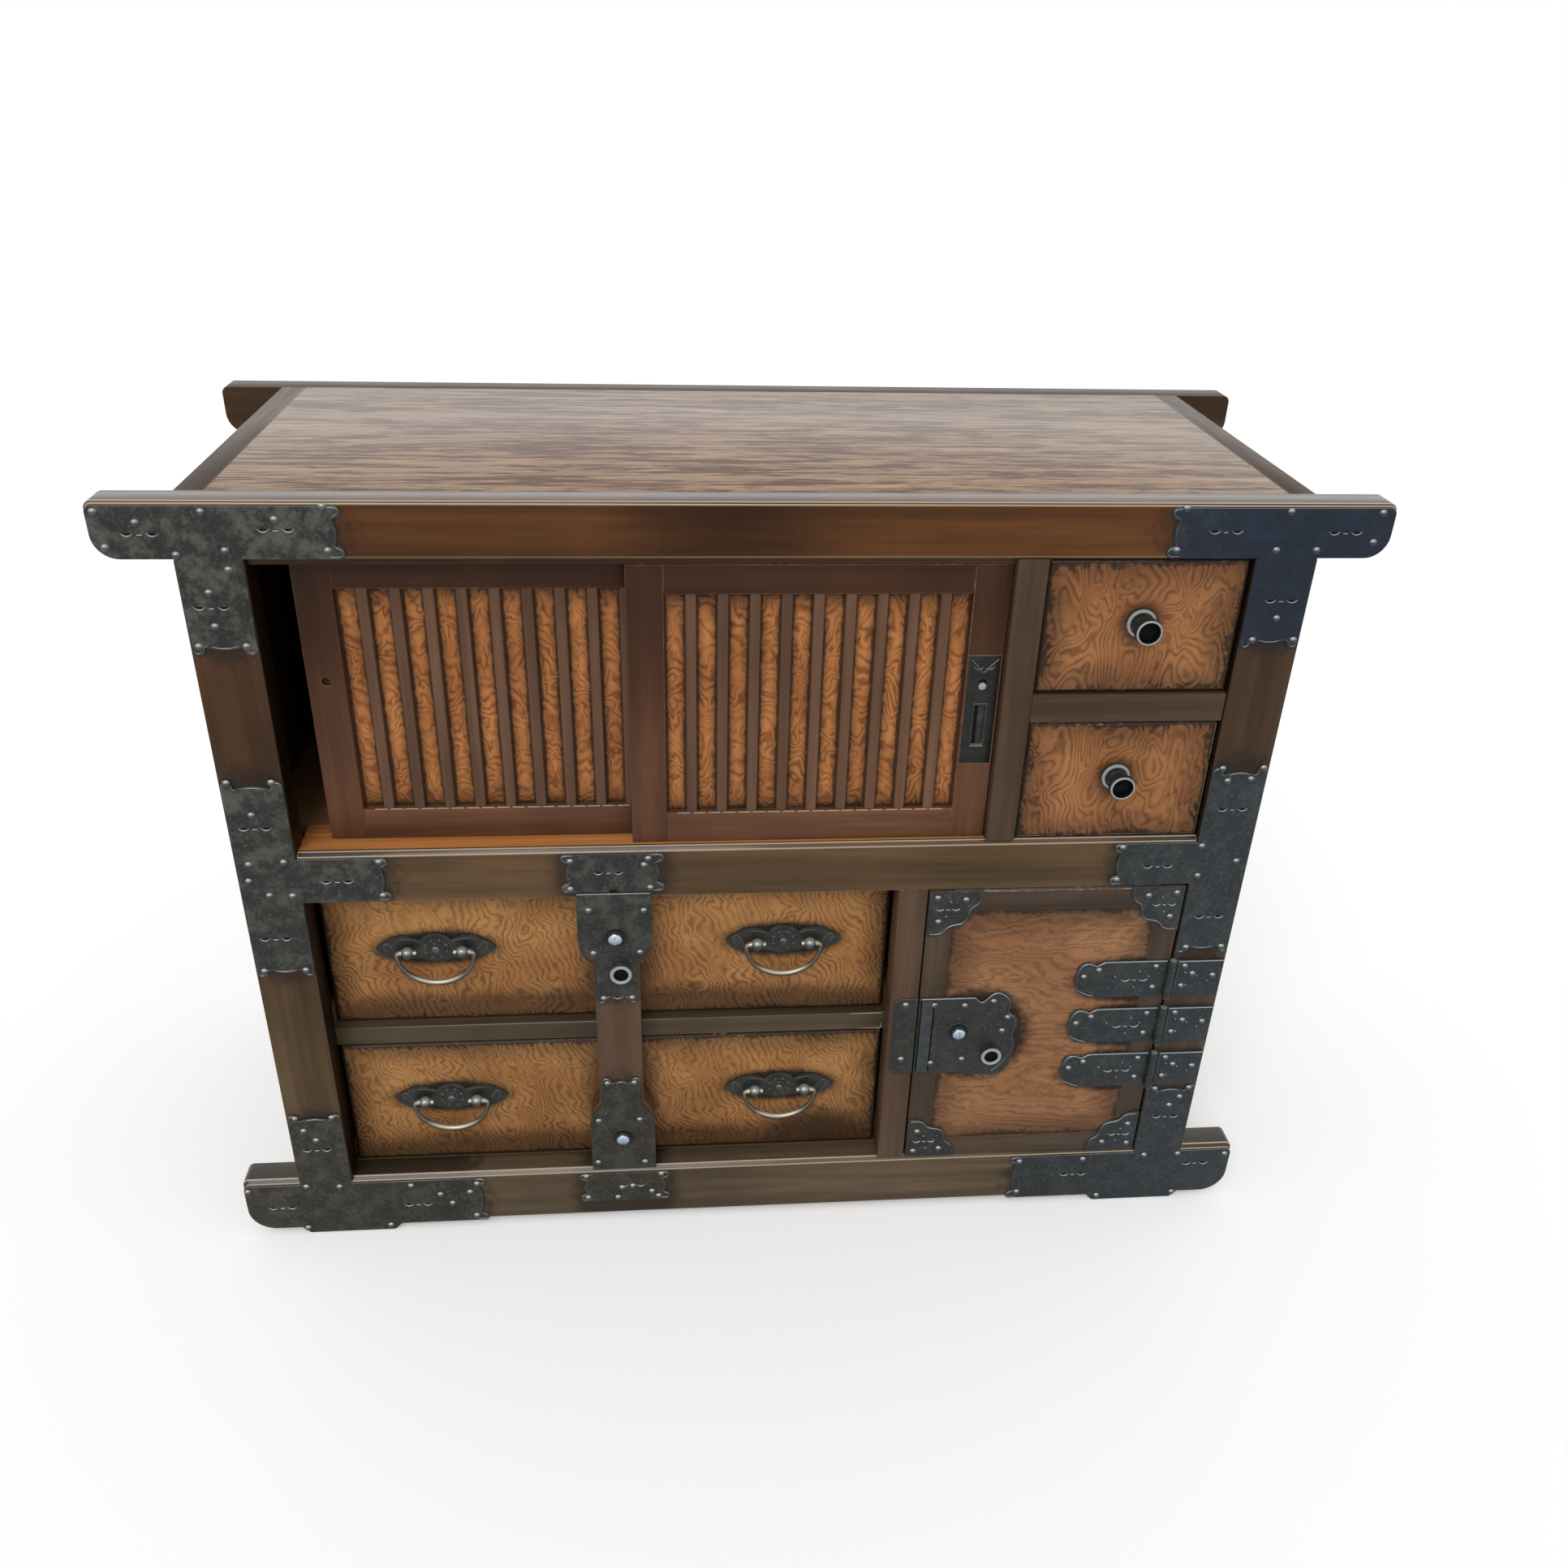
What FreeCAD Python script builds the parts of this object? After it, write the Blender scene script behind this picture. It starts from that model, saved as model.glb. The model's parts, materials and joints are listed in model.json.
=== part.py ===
# A ship-style merchant's chest: a framed carcass with boat-shaped rail ends, two slatted
# sliding doors, two small drawers, two wide drawers behind a locking bar, and a strong door.
# Each sub-part is written to parts/NAME.step.  Millimetres, +X right, +Y back, +Z up.
# Everything is drawn with y = 0 on the face of the front frame and z = 0 on the floor;
# save() then moves it back so that the origin is the centre of the whole chest's base.

import FreeCAD, Part
import math
import os

# ---- carcass -------------------------------------------------------------------------
BODY_WIDTH = 1069.0
RAIL_OVERHANG = 65.5
TOP_RAIL_EXTRA = 3.0
DEPTH = 468.0
FRAME_THICKNESS = 32.0
POST_WIDTH = 62.5
FOOT_HEIGHT = 9.0
BOTTOM_RAIL_HEIGHT = 76.0
DRAWER_BAY_HEIGHT = 391.0
MID_RAIL_HEIGHT = 60.0
DOOR_BAY_HEIGHT = 313.0
TOP_RAIL_HEIGHT = 55.0
SAFE_BAY_WIDTH = 288.0
LOWER_DIVIDER_WIDTH = 32.0
SMALL_BAY_WIDTH = 201.0
UPPER_DIVIDER_WIDTH = 31.0
RAIL_ARRIS = 4.5
TOP_ARRIS = 2.5
TOP_END_RADIUS = 24.0
BOTTOM_END_RADIUS = 32.0
UPPER_END_RADIUS = 8.0
SIDE_RAIL_WIDTH = 27.0
SIDE_PANEL_THICKNESS = 14.0
SIDE_PANEL_INSET = 5.0
TOP_THICKNESS = 18.0
BOARD_THICKNESS = 15.0
PARTITION_THICKNESS = 15.0
BACK_THICKNESS = 10.0
BACK_INSET = 12.0
FOOT_LENGTH = 118.0
FOOT_CHAMFER = 8.0
FOOT_OUTREACH = 6.0

# ---- drawers -------------------------------------------------------------------------
UPPER_WIDE_RECESS = 40.0
LOWER_WIDE_RECESS = 31.0
WIDE_RAIL_RECESS = 29.5
WIDE_RAIL_HEIGHT = 23.0
LOWER_DRAWER_HEIGHT = 178.0
WIDE_RAIL_DEPTH = 34.0
SMALL_DRAWER_RECESS = 4.0
SMALL_RAIL_RECESS = 1.0
SMALL_RAIL_HEIGHT = 31.0
SMALL_RAIL_DEPTH = 40.0
LOWER_SMALL_HEIGHT = 139.0
DRAWER_GAP = 1.5
WIDE_DRAWER_TOP_GAP = 4.0
SMALL_DRAWER_TOP_GAP = 1.5
DRAWER_FRONT_THICKNESS = 20.0
DRAWER_ARRIS = 2.5
DRAWER_SIDE_THICKNESS = 12.0
DRAWER_BOTTOM_THICKNESS = 7.0
DRAWER_BOTTOM_LIFT = 5.0
DRAWER_SIDE_DROP = 9.0
DRAWER_REAR_ROOM = 12.0
RUNNER_THICKNESS = 15.0
RUNNER_REACH = 32.0
GUIDE_HEIGHT = 30.0

# ---- sliding doors and their tracks --------------------------------------------------
FRONT_DOOR_RECESS = 10.0
DOOR_THICKNESS = 16.0
DOOR_SPACING = 18.0
DOOR_OVERLAP = 32.0
DOOR_STILE = 36.0
DOOR_TOP_RAIL = 30.0
DOOR_BOTTOM_RAIL = 34.0
DOOR_END_GAP = 1.0
DOOR_CLEARANCE = 1.0
LEFT_DOOR_OPEN = 29.0
TONGUE_WIDTH = 6.0
LOWER_TONGUE = 2.5
UPPER_TONGUE = 6.0
GROOVE_CLEARANCE = 0.5
TRACK_LIP = 8.5
TRACK_DEPTH = 50.0
SILL_THICKNESS = 8.0
HEAD_THICKNESS = 12.0
HEAD_DROP = 7.0
SLAT_COUNT = 9
SLAT_WIDTH = 10.5
SLAT_FIELD_MARGIN = 20.65
SLAT_THICKNESS = 7.0
SLAT_INSET = 1.5
DOOR_PANEL_THICKNESS = 5.0
PEG_HOLE_RADIUS = 4.5
PEG_HOLE_HEIGHT = 715.0
PULL_PLATE_WIDTH = 32.0
PULL_PLATE_HEIGHT = 121.0
PULL_PLATE_BOTTOM = 625.0
PULL_SLOT_WIDTH = 11.0
PULL_SLOT_HEIGHT = 44.0
PULL_SLOT_DEPTH = 8.0

# ---- strong door ---------------------------------------------------------------------
SAFE_DOOR_GAP = 2.0
SAFE_DOOR_THICKNESS = 24.0
SAFE_DOOR_ARRIS = 2.5
SAFE_STILE = 28.0
SAFE_PANEL_THICKNESS = 16.0
HINGE_COUNT = 3
HINGE_HEIGHT = 50.0
HINGE_PITCH = 67.0
HINGE_CENTRE_BELOW_TOP = 194.0
LEAF_TO_MID_IRON = 9.5
LEAF_TO_BOTTOM_IRON = 3.25
STRAP_REACH = 110.0
LEAF_REACH = 60.0
KNUCKLE_RADIUS = 4.6
HINGE_PIN_RADIUS = 2.2
HINGE_PIN_CLEARANCE = 0.06
KNUCKLE_GAP = 0.5
PIN_HEAD_RADIUS = 3.8
PIN_HEAD_HEIGHT = 2.4
CORNER_PLATE_LEG = 59.0
LOCK_PLATE_REACH = 118.0
LOCK_PLATE_HEIGHT = 110.0
LOCK_PLATE_CENTRE_BELOW_TOP = 202.0
KEEPER_REACH = 27.0

# ---- locking bar ---------------------------------------------------------------------
BAR_OFFSET = 6.5
BAR_WIDTH = 50.0
BAR_THICKNESS = 26.0
BAR_PROUD = 0.3
BAR_END_GAP = 1.0
BAR_HEAD_WIDTH = 80.0
BAR_HEAD_LENGTH = 67.0
BAR_FOOT_WIDTH = 75.0
BAR_FOOT_LENGTH = 82.0
BAR_SHOULDER = 22.0
BAR_IRON_STEP = 6.0
STEM_IRON_WIDTH = 45.0
HEAD_IRON_LENGTH = 140.0
FOOT_IRON_LENGTH = 142.0
IRON_LAP = 6.5
KEEPER_WIDTH = 108.0
KEEPER_NOTCH = 4.5
LOWER_KEEPER_LIFT = 25.0

# ---- locks, pulls and handles --------------------------------------------------------
LOCK_RADIUS = 9.5
LOCK_COLLAR_RADIUS = 10.5
LOCK_COLLAR = 1.5
LOCK_DOME = 6.5
LOCK_SHANK_RADIUS = 7.0
LOCK_SHANK_DEPTH = 8.0
LOCK_CLEARANCE = 0.3
KEYWAY_WIDTH = 2.0
KEYWAY_HEIGHT = 9.0
KEYWAY_DEPTH = 3.0
HEAD_LOCK_INSET = 50.0
FOOT_LOCK_INSET = 51.0
DOOR_LOCK_INSET = 50.0
DOOR_LOCK_RISE = 6.0
BOLT_DEPTH = 9.5
BOLT_THICKNESS = 6.0
BOLT_WIDTH = 13.0
BOLT_THROW = 8.0
BOLT_CLEARANCE = 0.6
BOLT_TAIL = 8.0
KNOB_BASE_RADIUS = 14.0
KNOB_HEAD_RADIUS = 13.5
KNOB_LENGTH = 27.0
KNOB_RISE = 4.5
PULL_BASE_RADIUS = 10.0
PULL_HEAD_RADIUS = 12.0
PULL_LENGTH = 11.0
BAR_PULL_BELOW_TOP = 94.0
BAR_PULL_OFFSET = 5.0
DOOR_PULL_INSET = 90.0
DOOR_PULL_DROP = 25.0
HANDLE_SPREAD = 192.0
HANDLE_RISE = 6.5
BAIL_HALF_WIDTH = 42.5
BAIL_DROP = 41.0
BAIL_WIRE_RADIUS = 2.6
BAIL_CORNER_RADIUS = 6.0
BAIL_STANDOFF = 8.7
BAIL_EYE_SPREAD = 29.5
EYE_RADIUS = 7.0
EYE_HOLE_RADIUS = 3.2
EYE_STEM_RADIUS = 3.2
BAIL_END_PAST_EYE = 2.0
BAIL_PLATE_HALF_WIDTH = 65.0
BAIL_PLATE_RISE = 19.5
BAIL_PLATE_FALL = 20.0
ROSETTE_RADIUS = 14.0
ROSETTE_HEIGHT = 2.6

# ---- ironwork ------------------------------------------------------------------------
IRON_THICKNESS = 1.6
IRON_MARGIN = 1.5
EAR_WIDTH = 11.0
EAR_HEIGHT = 8.0
NAIL_RADIUS = 4.0
NAIL_HEIGHT = 2.6
TOP_IRON_REACH = 90.0
TOP_IRON_DROP = 94.0
MID_IRON_REACH = 90.0
MID_IRON_RISE = 91.0
BOTTOM_IRON_REACH = 154.0

# ---- nails, driven by hand -------------------------------------------------------------
# Each corner iron's nails are (x, z) from five places: the end of the rail, the middle of
# the joint, the iron's tip along the rail, and its tips up and down the post.
TOP_LEFT_NAILS = (
    ((9, 45), (43, 35), (13, 12)),
    ((1, 45), (-27, 5), (16, 9), (16, -9)),
    ((-58, 38), (-15, 50), (-15, 9)),
    (),
    ((-5, 63), (-5, 30), (-23, 10), (20, 10)))
TOP_RIGHT_NAILS = (
    ((-15, 46), (-18, 17)),
    ((-6, 47), (-13, 9), (27, 9)),
    ((13, 50), (10, 9)),
    (),
    ((2, 33), (-18, 10), (24, 10)))
MID_LEFT_NAILS = (
    (),
    ((-17, 19), (18, 21), (-20, -1), (-2, -19), (21, -20)),
    ((-9, 19), (-9, -22)),
    ((-23, -7), (20, -7), (-5, -44)),
    ((-22, 9), (21, 9)))
MID_RIGHT_NAILS = (
    (),
    ((-25, 19), (17, -1), (-23, -19)),
    ((9, 19), (8, -22)),
    ((-20, -7), (24, -7), (-12, -22), (13, -20)),
    ((-19, 9), (22, 9)))
BOTTOM_LEFT_NAILS = (
    ((6, 24),),
    ((-23, 29), (15, 27), (-30, -38)),
    ((-118, -39), (-88, 24), (-55, 8), (-42, -7), (-20, 10), (-15, -29), (-11, 23)),
    ((-21, -7), (20, -7), (-14, -26), (-2, -41)),
    ())
BOTTOM_RIGHT_NAILS = (
    ((-9, 24),),
    ((-16, 27), (27, 27), (30, -38)),
    ((12, 24), (92, 24), (14, -27), (118, -39)),
    ((-20, -7), (22, -7), (13, -21), (2, -34)),
    ())
# The nails of every other iron are shares of its length and of half its height or width.
BAR_HEAD_NAILS = ((0.11, -0.68), (0.12, 0.78), (0.51, -0.60), (0.51, 0.65), (0.95, -0.38),
                  (0.95, 0.40))
BAR_FOOT_NAILS = ((0.54, -0.74), (0.54, 0.53), (0.08, -0.82), (0.07, 0.66), (0.94, -0.42),
                  (0.94, 0.40))
UPPER_KEEPER_NAILS = ((-0.81, 0.63), (0.69, 0.71), (0.61, 0.38), (-0.83, -0.82), (0.72, -0.82))
LOWER_KEEPER_NAILS = ((-0.85, 0.80), (0.81, 0.80), (-0.83, -0.75), (-0.07, -0.09), (0.17, 0),
                      (-0.17, -0.80), (0.59, -0.44), (0.74, -0.80))
LOCK_PLATE_NAILS = ((0.16, 0.82), (0.46, 0.78), (0.74, 0.87), (0.90, 0.44), (0.86, 0.09),
                    (0.49, -0.65), (0.18, -0.73))
DOOR_KEEPER_NAILS = ((0.52, 0.84), (0.52, -0.60))
CORNER_PLATE_NAILS = ((0.15, 0.15), (0.68, 0.20), (0.20, 0.68))
STRAP_NAILS = ((0.91, 0.16), (0.76, 0.52), (0.16, 0.64), (0.16, -0.52))
LEAF_NAILS = ((0.25, 0.68), (0.43, 0.24), (0.83, 0.12), (0.25, -0.44))

# ---- places worked out from the sizes above ------------------------------------------
BOTTOM_RAIL_LENGTH = BODY_WIDTH + 2 * RAIL_OVERHANG
TOP_RAIL_LENGTH = BOTTOM_RAIL_LENGTH + 2 * TOP_RAIL_EXTRA
BODY_HALF = BODY_WIDTH / 2
OPEN_HALF = BODY_HALF - POST_WIDTH
Z_FLOOR = FOOT_HEIGHT + BOTTOM_RAIL_HEIGHT
Z_MID = Z_FLOOR + DRAWER_BAY_HEIGHT
Z_SHELF = Z_MID + MID_RAIL_HEIGHT
Z_HEAD = Z_SHELF + DOOR_BAY_HEIGHT
HEIGHT = Z_HEAD + TOP_RAIL_HEIGHT
Y_REAR = DEPTH - FRAME_THICKNESS
SAFE_LEFT = OPEN_HALF - SAFE_BAY_WIDTH
LOWER_DIVIDER_LEFT = SAFE_LEFT - LOWER_DIVIDER_WIDTH
SMALL_LEFT = OPEN_HALF - SMALL_BAY_WIDTH
UPPER_DIVIDER_LEFT = SMALL_LEFT - UPPER_DIVIDER_WIDTH
PANEL_INNER = BODY_HALF - SIDE_PANEL_INSET - SIDE_PANEL_THICKNESS
LOWER_PARTITION_LEFT = LOWER_DIVIDER_LEFT + (LOWER_DIVIDER_WIDTH - PARTITION_THICKNESS) / 2
UPPER_PARTITION_LEFT = UPPER_DIVIDER_LEFT + (UPPER_DIVIDER_WIDTH - PARTITION_THICKNESS) / 2
WIDE_RAIL_Z = Z_FLOOR + LOWER_DRAWER_HEIGHT
UPPER_WIDE_Z = WIDE_RAIL_Z + WIDE_RAIL_HEIGHT
SMALL_RAIL_Z = Z_SHELF + LOWER_SMALL_HEIGHT
UPPER_SMALL_Z = SMALL_RAIL_Z + SMALL_RAIL_HEIGHT
WIDE_BAY_CENTRE = (LOWER_DIVIDER_LEFT - OPEN_HALF) / 2
BAR_X = WIDE_BAY_CENTRE + BAR_OFFSET
BAR_TOP = Z_MID - BAR_END_GAP
BAR_BOTTOM = Z_FLOOR + BAR_END_GAP
BAR_FACE = -BAR_PROUD
HINGE_Z = [Z_MID - HINGE_CENTRE_BELOW_TOP + (i - (HINGE_COUNT - 1) / 2) * HINGE_PITCH
           for i in range(HINGE_COUNT)]
# The corner irons on the posts stop just above and just below the hinges' post leaves.
MID_IRON_LOW_TIP = HINGE_Z[-1] + HINGE_HEIGHT / 2 + LEAF_TO_MID_IRON
BOTTOM_IRON_TIP = HINGE_Z[0] - HINGE_HEIGHT / 2 - LEAF_TO_BOTTOM_IRON
HINGE_AXIS_Y = -KNUCKLE_RADIUS
SLIDING_BAY_WIDTH = UPPER_DIVIDER_LEFT + OPEN_HALF
DOOR_WIDTH = (SLIDING_BAY_WIDTH - 2 * DOOR_END_GAP + DOOR_OVERLAP) / 2
SLAT_FIELD = DOOR_WIDTH - 2 * (DOOR_STILE + SLAT_FIELD_MARGIN)
SLAT_PITCH = (SLAT_FIELD - SLAT_WIDTH) / (SLAT_COUNT - 1)
POST_X = BODY_HALF - POST_WIDTH / 2
DOOR_LOCK_X = SAFE_LEFT + DOOR_LOCK_INSET
LOCK_PLATE_Z = Z_MID - LOCK_PLATE_CENTRE_BELOW_TOP
DOOR_LOCK_Z = LOCK_PLATE_Z + DOOR_LOCK_RISE
FRONT_REACH = KNOB_LENGTH - SMALL_DRAWER_RECESS
CENTRE_Y = (DEPTH - FRONT_REACH) / 2
BIG = 2 * TOP_RAIL_LENGTH


# ---- helpers -------------------------------------------------------------------------
def box(x0, x1, y0, y1, z0, z1):
    """A block between two corners."""
    return Part.makeBox(x1 - x0, y1 - y0, z1 - z0, FreeCAD.Vector(x0, y0, z0))


def save(name, *solids):
    """Write one sub-part, moved so that the origin is the centre of the chest's base."""
    placed = []
    for solid in solids:
        copy = solid.copy()
        copy.translate(FreeCAD.Vector(0, -CENTRE_Y, 0))
        placed.append(copy)
    shape = placed[0] if len(placed) == 1 else Part.makeCompound(placed)
    shape.exportStep(os.path.join("parts", name + ".step"))


def outline(start, *steps):
    """A closed flat face in the x-z plane; (x, z) is a line, (xm, zm, x, z) is an arc."""
    edges = []
    here = FreeCAD.Vector(start[0], 0, start[1])
    first = here
    for step in steps:
        there = FreeCAD.Vector(step[-2], 0, step[-1])
        if len(step) == 4:
            middle = FreeCAD.Vector(step[0], 0, step[1])
            edges.append(Part.Arc(here, middle, there).toShape())
        else:
            edges.append(Part.LineSegment(here, there).toShape())
        here = there
    if (here - first).Length > 1e-6:
        edges.append(Part.LineSegment(here, first).toShape())
    return Part.Face(Part.Wire(edges))


def sheet(face, y0, y1):
    """A flat face given a thickness from y0 to y1."""
    solid = face.extrude(FreeCAD.Vector(0, y1 - y0, 0))
    solid.translate(FreeCAD.Vector(0, y0, 0))
    return solid


def mirrored(solid, x=0.0):
    """The solid's image on the other side of the plane at x."""
    return solid.mirror(FreeCAD.Vector(x, 0, 0), FreeCAD.Vector(1, 0, 0))


def turned(profile, x, z):
    """A profile of (radius, y) points turned about the line along Y through x, z."""
    points = [FreeCAD.Vector(x + radius, y, z) for radius, y in profile]
    wire = Part.makePolygon(points + [points[0]])
    face = Part.Face(wire)
    return face.revolve(FreeCAD.Vector(x, 0, z), FreeCAD.Vector(0, 1, 0), 360)


def rod_y(x, z, radius, y0, y1):
    """A round bar along Y."""
    return Part.makeCylinder(radius, y1 - y0, FreeCAD.Vector(x, y0, z), FreeCAD.Vector(0, 1, 0))


def rod_z(x, y, radius, z0, z1):
    """A round bar along Z."""
    return Part.makeCylinder(radius, z1 - z0, FreeCAD.Vector(x, y, z0))


def edges_where(solid, test):
    """The edges whose whole length passes the test, which reads a bounding box."""
    return [edge for edge in solid.Edges if test(edge.BoundBox)]


def eased_front(solid, y, size):
    """Chamfer the edges all round the face that looks forward at y."""
    edges = edges_where(solid, lambda b: abs(b.YMin - y) < 1e-4 and abs(b.YMax - y) < 1e-4)
    return solid.makeChamfer(size, edges)


def nail(x, z, y_face):
    """A domed nail head whose flat side lies on y_face."""
    sphere_radius = (NAIL_RADIUS ** 2 + NAIL_HEIGHT ** 2) / (2 * NAIL_HEIGHT)
    centre = y_face - NAIL_HEIGHT + sphere_radius
    ball = Part.makeSphere(sphere_radius, FreeCAD.Vector(x, centre, z))
    front = box(x - NAIL_RADIUS * 2, x + NAIL_RADIUS * 2,
                y_face - NAIL_HEIGHT * 2, y_face,
                z - NAIL_RADIUS * 2, z + NAIL_RADIUS * 2)
    return ball.common(front)


def nails(places, y_face):
    """Domed nail heads at each (x, z)."""
    head = nail(0, 0, y_face)
    heads = []
    for x, z in places:
        copy = head.copy()
        copy.translate(FreeCAD.Vector(x, 0, z))
        heads.append(copy)
    return heads


# ---- frame ---------------------------------------------------------------------------
def rail_face(length, z0, z1, low_radius, inset=0.0):
    """A long rail seen from the front, its ends rounded like a boat's bow below."""
    half = length / 2 - inset
    low = z0 + inset
    high = z1 - inset
    r = low_radius - inset
    s = UPPER_END_RADIUS - inset
    k = 1 - math.sqrt(0.5)
    return outline(
        (-half + s, high),
        (half - s, high),
        (half - s * k, high - s * k, half, high - s),
        (half, low + r),
        (half - r * k, low + r * k, half - r, low),
        (-half + r, low),
        (-half + r * k, low + r * k, -half, low + r),
        (-half, high - s),
        (-half + s * k, high - s * k, -half + s, high))


def top_rail_face(inset=0.0, cut=0.0):
    """The outline of a top rail, or of a plate set in from its edges."""
    return rail_face(TOP_RAIL_LENGTH, Z_HEAD, HEIGHT - cut, TOP_END_RADIUS, inset)


def bottom_rail_face(inset=0.0, cut=0.0):
    """The outline of a bottom rail, or of a plate set in from its edges."""
    return rail_face(BOTTOM_RAIL_LENGTH, FOOT_HEIGHT, Z_FLOOR - cut, BOTTOM_END_RADIUS, inset)


def front_arris(rail, z, size):
    """Chamfer the long edge where a rail's front face meets its top."""
    edges = edges_where(rail, lambda b: abs(b.YMax) < 1e-4 and abs(b.ZMin - z) < 1e-4
                        and b.XLength > OPEN_HALF)
    return rail.makeChamfer(size, edges)


def strike(x0, x1, z0, z1):
    """The pocket that a bolt is thrown into."""
    y = BAR_FACE + BOLT_DEPTH
    return box(x0, x1, y - BOLT_CLEARANCE, y + BOLT_THICKNESS + BOLT_CLEARANCE, z0, z1)


BOLT_HALF = BOLT_WIDTH / 2 + BOLT_CLEARANCE
STRIKE_DEPTH = BOLT_THROW + BAR_END_GAP + 2.0


def front_rails():
    """The three long rails of the front frame."""
    top = sheet(top_rail_face(), 0, FRAME_THICKNESS)
    top = front_arris(top, HEIGHT, TOP_ARRIS)
    top = top.cut(box(-OPEN_HALF, UPPER_DIVIDER_LEFT, TRACK_LIP, FRAME_THICKNESS,
                      Z_HEAD, Z_HEAD + HEAD_THICKNESS - HEAD_DROP))
    save("front_top_rail", top)

    mid = box(-OPEN_HALF, OPEN_HALF, 0, FRAME_THICKNESS, Z_MID, Z_SHELF)
    mid = front_arris(mid, Z_SHELF, RAIL_ARRIS)
    mid = mid.cut(box(-OPEN_HALF, UPPER_DIVIDER_LEFT, TRACK_LIP, FRAME_THICKNESS,
                      Z_SHELF - SILL_THICKNESS, Z_SHELF))
    mid = mid.cut(strike(BAR_X - BOLT_HALF, BAR_X + BOLT_HALF, Z_MID, Z_MID + STRIKE_DEPTH))
    save("front_mid_rail", mid)

    bottom = sheet(bottom_rail_face(), 0, FRAME_THICKNESS)
    bottom = front_arris(bottom, Z_FLOOR, RAIL_ARRIS)
    bottom = bottom.cut(strike(BAR_X - BOLT_HALF, BAR_X + BOLT_HALF,
                               Z_FLOOR - STRIKE_DEPTH, Z_FLOOR))
    save("front_bottom_rail", bottom)


def posts():
    """The two front posts, between the long rails."""
    left = box(-BODY_HALF, -OPEN_HALF, 0, FRAME_THICKNESS, Z_FLOOR, Z_HEAD)
    save("front_left_post", left)
    save("front_right_post", mirrored(left))


def rear_frame():
    """Rear posts and rails, the long rails ending like the front ones."""
    post = box(-BODY_HALF, -OPEN_HALF, Y_REAR, DEPTH, Z_FLOOR, Z_HEAD)
    save("rear_frame",
         sheet(top_rail_face(), Y_REAR, DEPTH),
         box(-OPEN_HALF, OPEN_HALF, Y_REAR, DEPTH, Z_MID, Z_SHELF),
         sheet(bottom_rail_face(), Y_REAR, DEPTH),
         post,
         mirrored(post))


def side_frames():
    """Rails and panels that close the two sides."""
    x0 = -BODY_HALF
    x1 = x0 + SIDE_RAIL_WIDTH
    top = box(x0, x1, FRAME_THICKNESS, Y_REAR, Z_HEAD, HEIGHT)
    bottom = box(x0, x1, FRAME_THICKNESS, Y_REAR, FOOT_HEIGHT, Z_FLOOR)
    save("side_rails", top, bottom, mirrored(top), mirrored(bottom))
    panel = box(-PANEL_INNER - SIDE_PANEL_THICKNESS, -PANEL_INNER,
                FRAME_THICKNESS, Y_REAR, Z_FLOOR, Z_HEAD)
    save("side_panels", panel, mirrored(panel))


def boards():
    """Top, shelf, floor and back boards."""
    half = BODY_HALF - SIDE_RAIL_WIDTH
    save("top_panel", box(-half, half, FRAME_THICKNESS, Y_REAR, HEIGHT - TOP_THICKNESS, HEIGHT))
    save("bottom_board", box(-half, half, FRAME_THICKNESS, Y_REAR,
                             Z_FLOOR - BOARD_THICKNESS, Z_FLOOR))
    shelf = box(-PANEL_INNER, PANEL_INNER, FRAME_THICKNESS, Y_REAR,
                Z_SHELF - BOARD_THICKNESS, Z_SHELF)
    shelf = shelf.cut(box(-OPEN_HALF, UPPER_DIVIDER_LEFT, FRAME_THICKNESS,
                          TRACK_LIP + TRACK_DEPTH, Z_SHELF - SILL_THICKNESS, Z_SHELF))
    save("mid_board", shelf)
    y1 = DEPTH - BACK_INSET
    y0 = y1 - BACK_THICKNESS
    save("back_panels",
         box(-OPEN_HALF, OPEN_HALF, y0, y1, Z_FLOOR, Z_MID),
         box(-OPEN_HALF, OPEN_HALF, y0, y1, Z_SHELF, Z_HEAD))


def dividers():
    """The two upright dividers: a stile in the front frame and a partition behind it."""
    stile = box(UPPER_DIVIDER_LEFT, SMALL_LEFT, 0, FRAME_THICKNESS, Z_SHELF, Z_HEAD)
    board = box(UPPER_PARTITION_LEFT, UPPER_PARTITION_LEFT + PARTITION_THICKNESS,
                FRAME_THICKNESS, Y_REAR, Z_SHELF, HEIGHT - TOP_THICKNESS)
    save("upper_divider", stile, board)
    stile = box(LOWER_DIVIDER_LEFT, SAFE_LEFT, 0, FRAME_THICKNESS, Z_FLOOR, Z_MID)
    stile = stile.cut(strike(SAFE_LEFT - STRIKE_DEPTH, SAFE_LEFT,
                             DOOR_LOCK_Z - BOLT_HALF, DOOR_LOCK_Z + BOLT_HALF))
    board = box(LOWER_PARTITION_LEFT, LOWER_PARTITION_LEFT + PARTITION_THICKNESS,
                FRAME_THICKNESS, Y_REAR, Z_FLOOR, Z_SHELF - BOARD_THICKNESS)
    save("lower_divider", stile, board)


def shouldered_rail(x0, x1, wide0, wide1, y0, y1, z0, z1):
    """A short rail whose rear part runs on behind the frame's uprights."""
    rail = box(x0, x1, y0, y1, z0, z1)
    return rail.fuse(box(wide0, wide1, FRAME_THICKNESS, y1, z0, z1)).removeSplitter()


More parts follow.
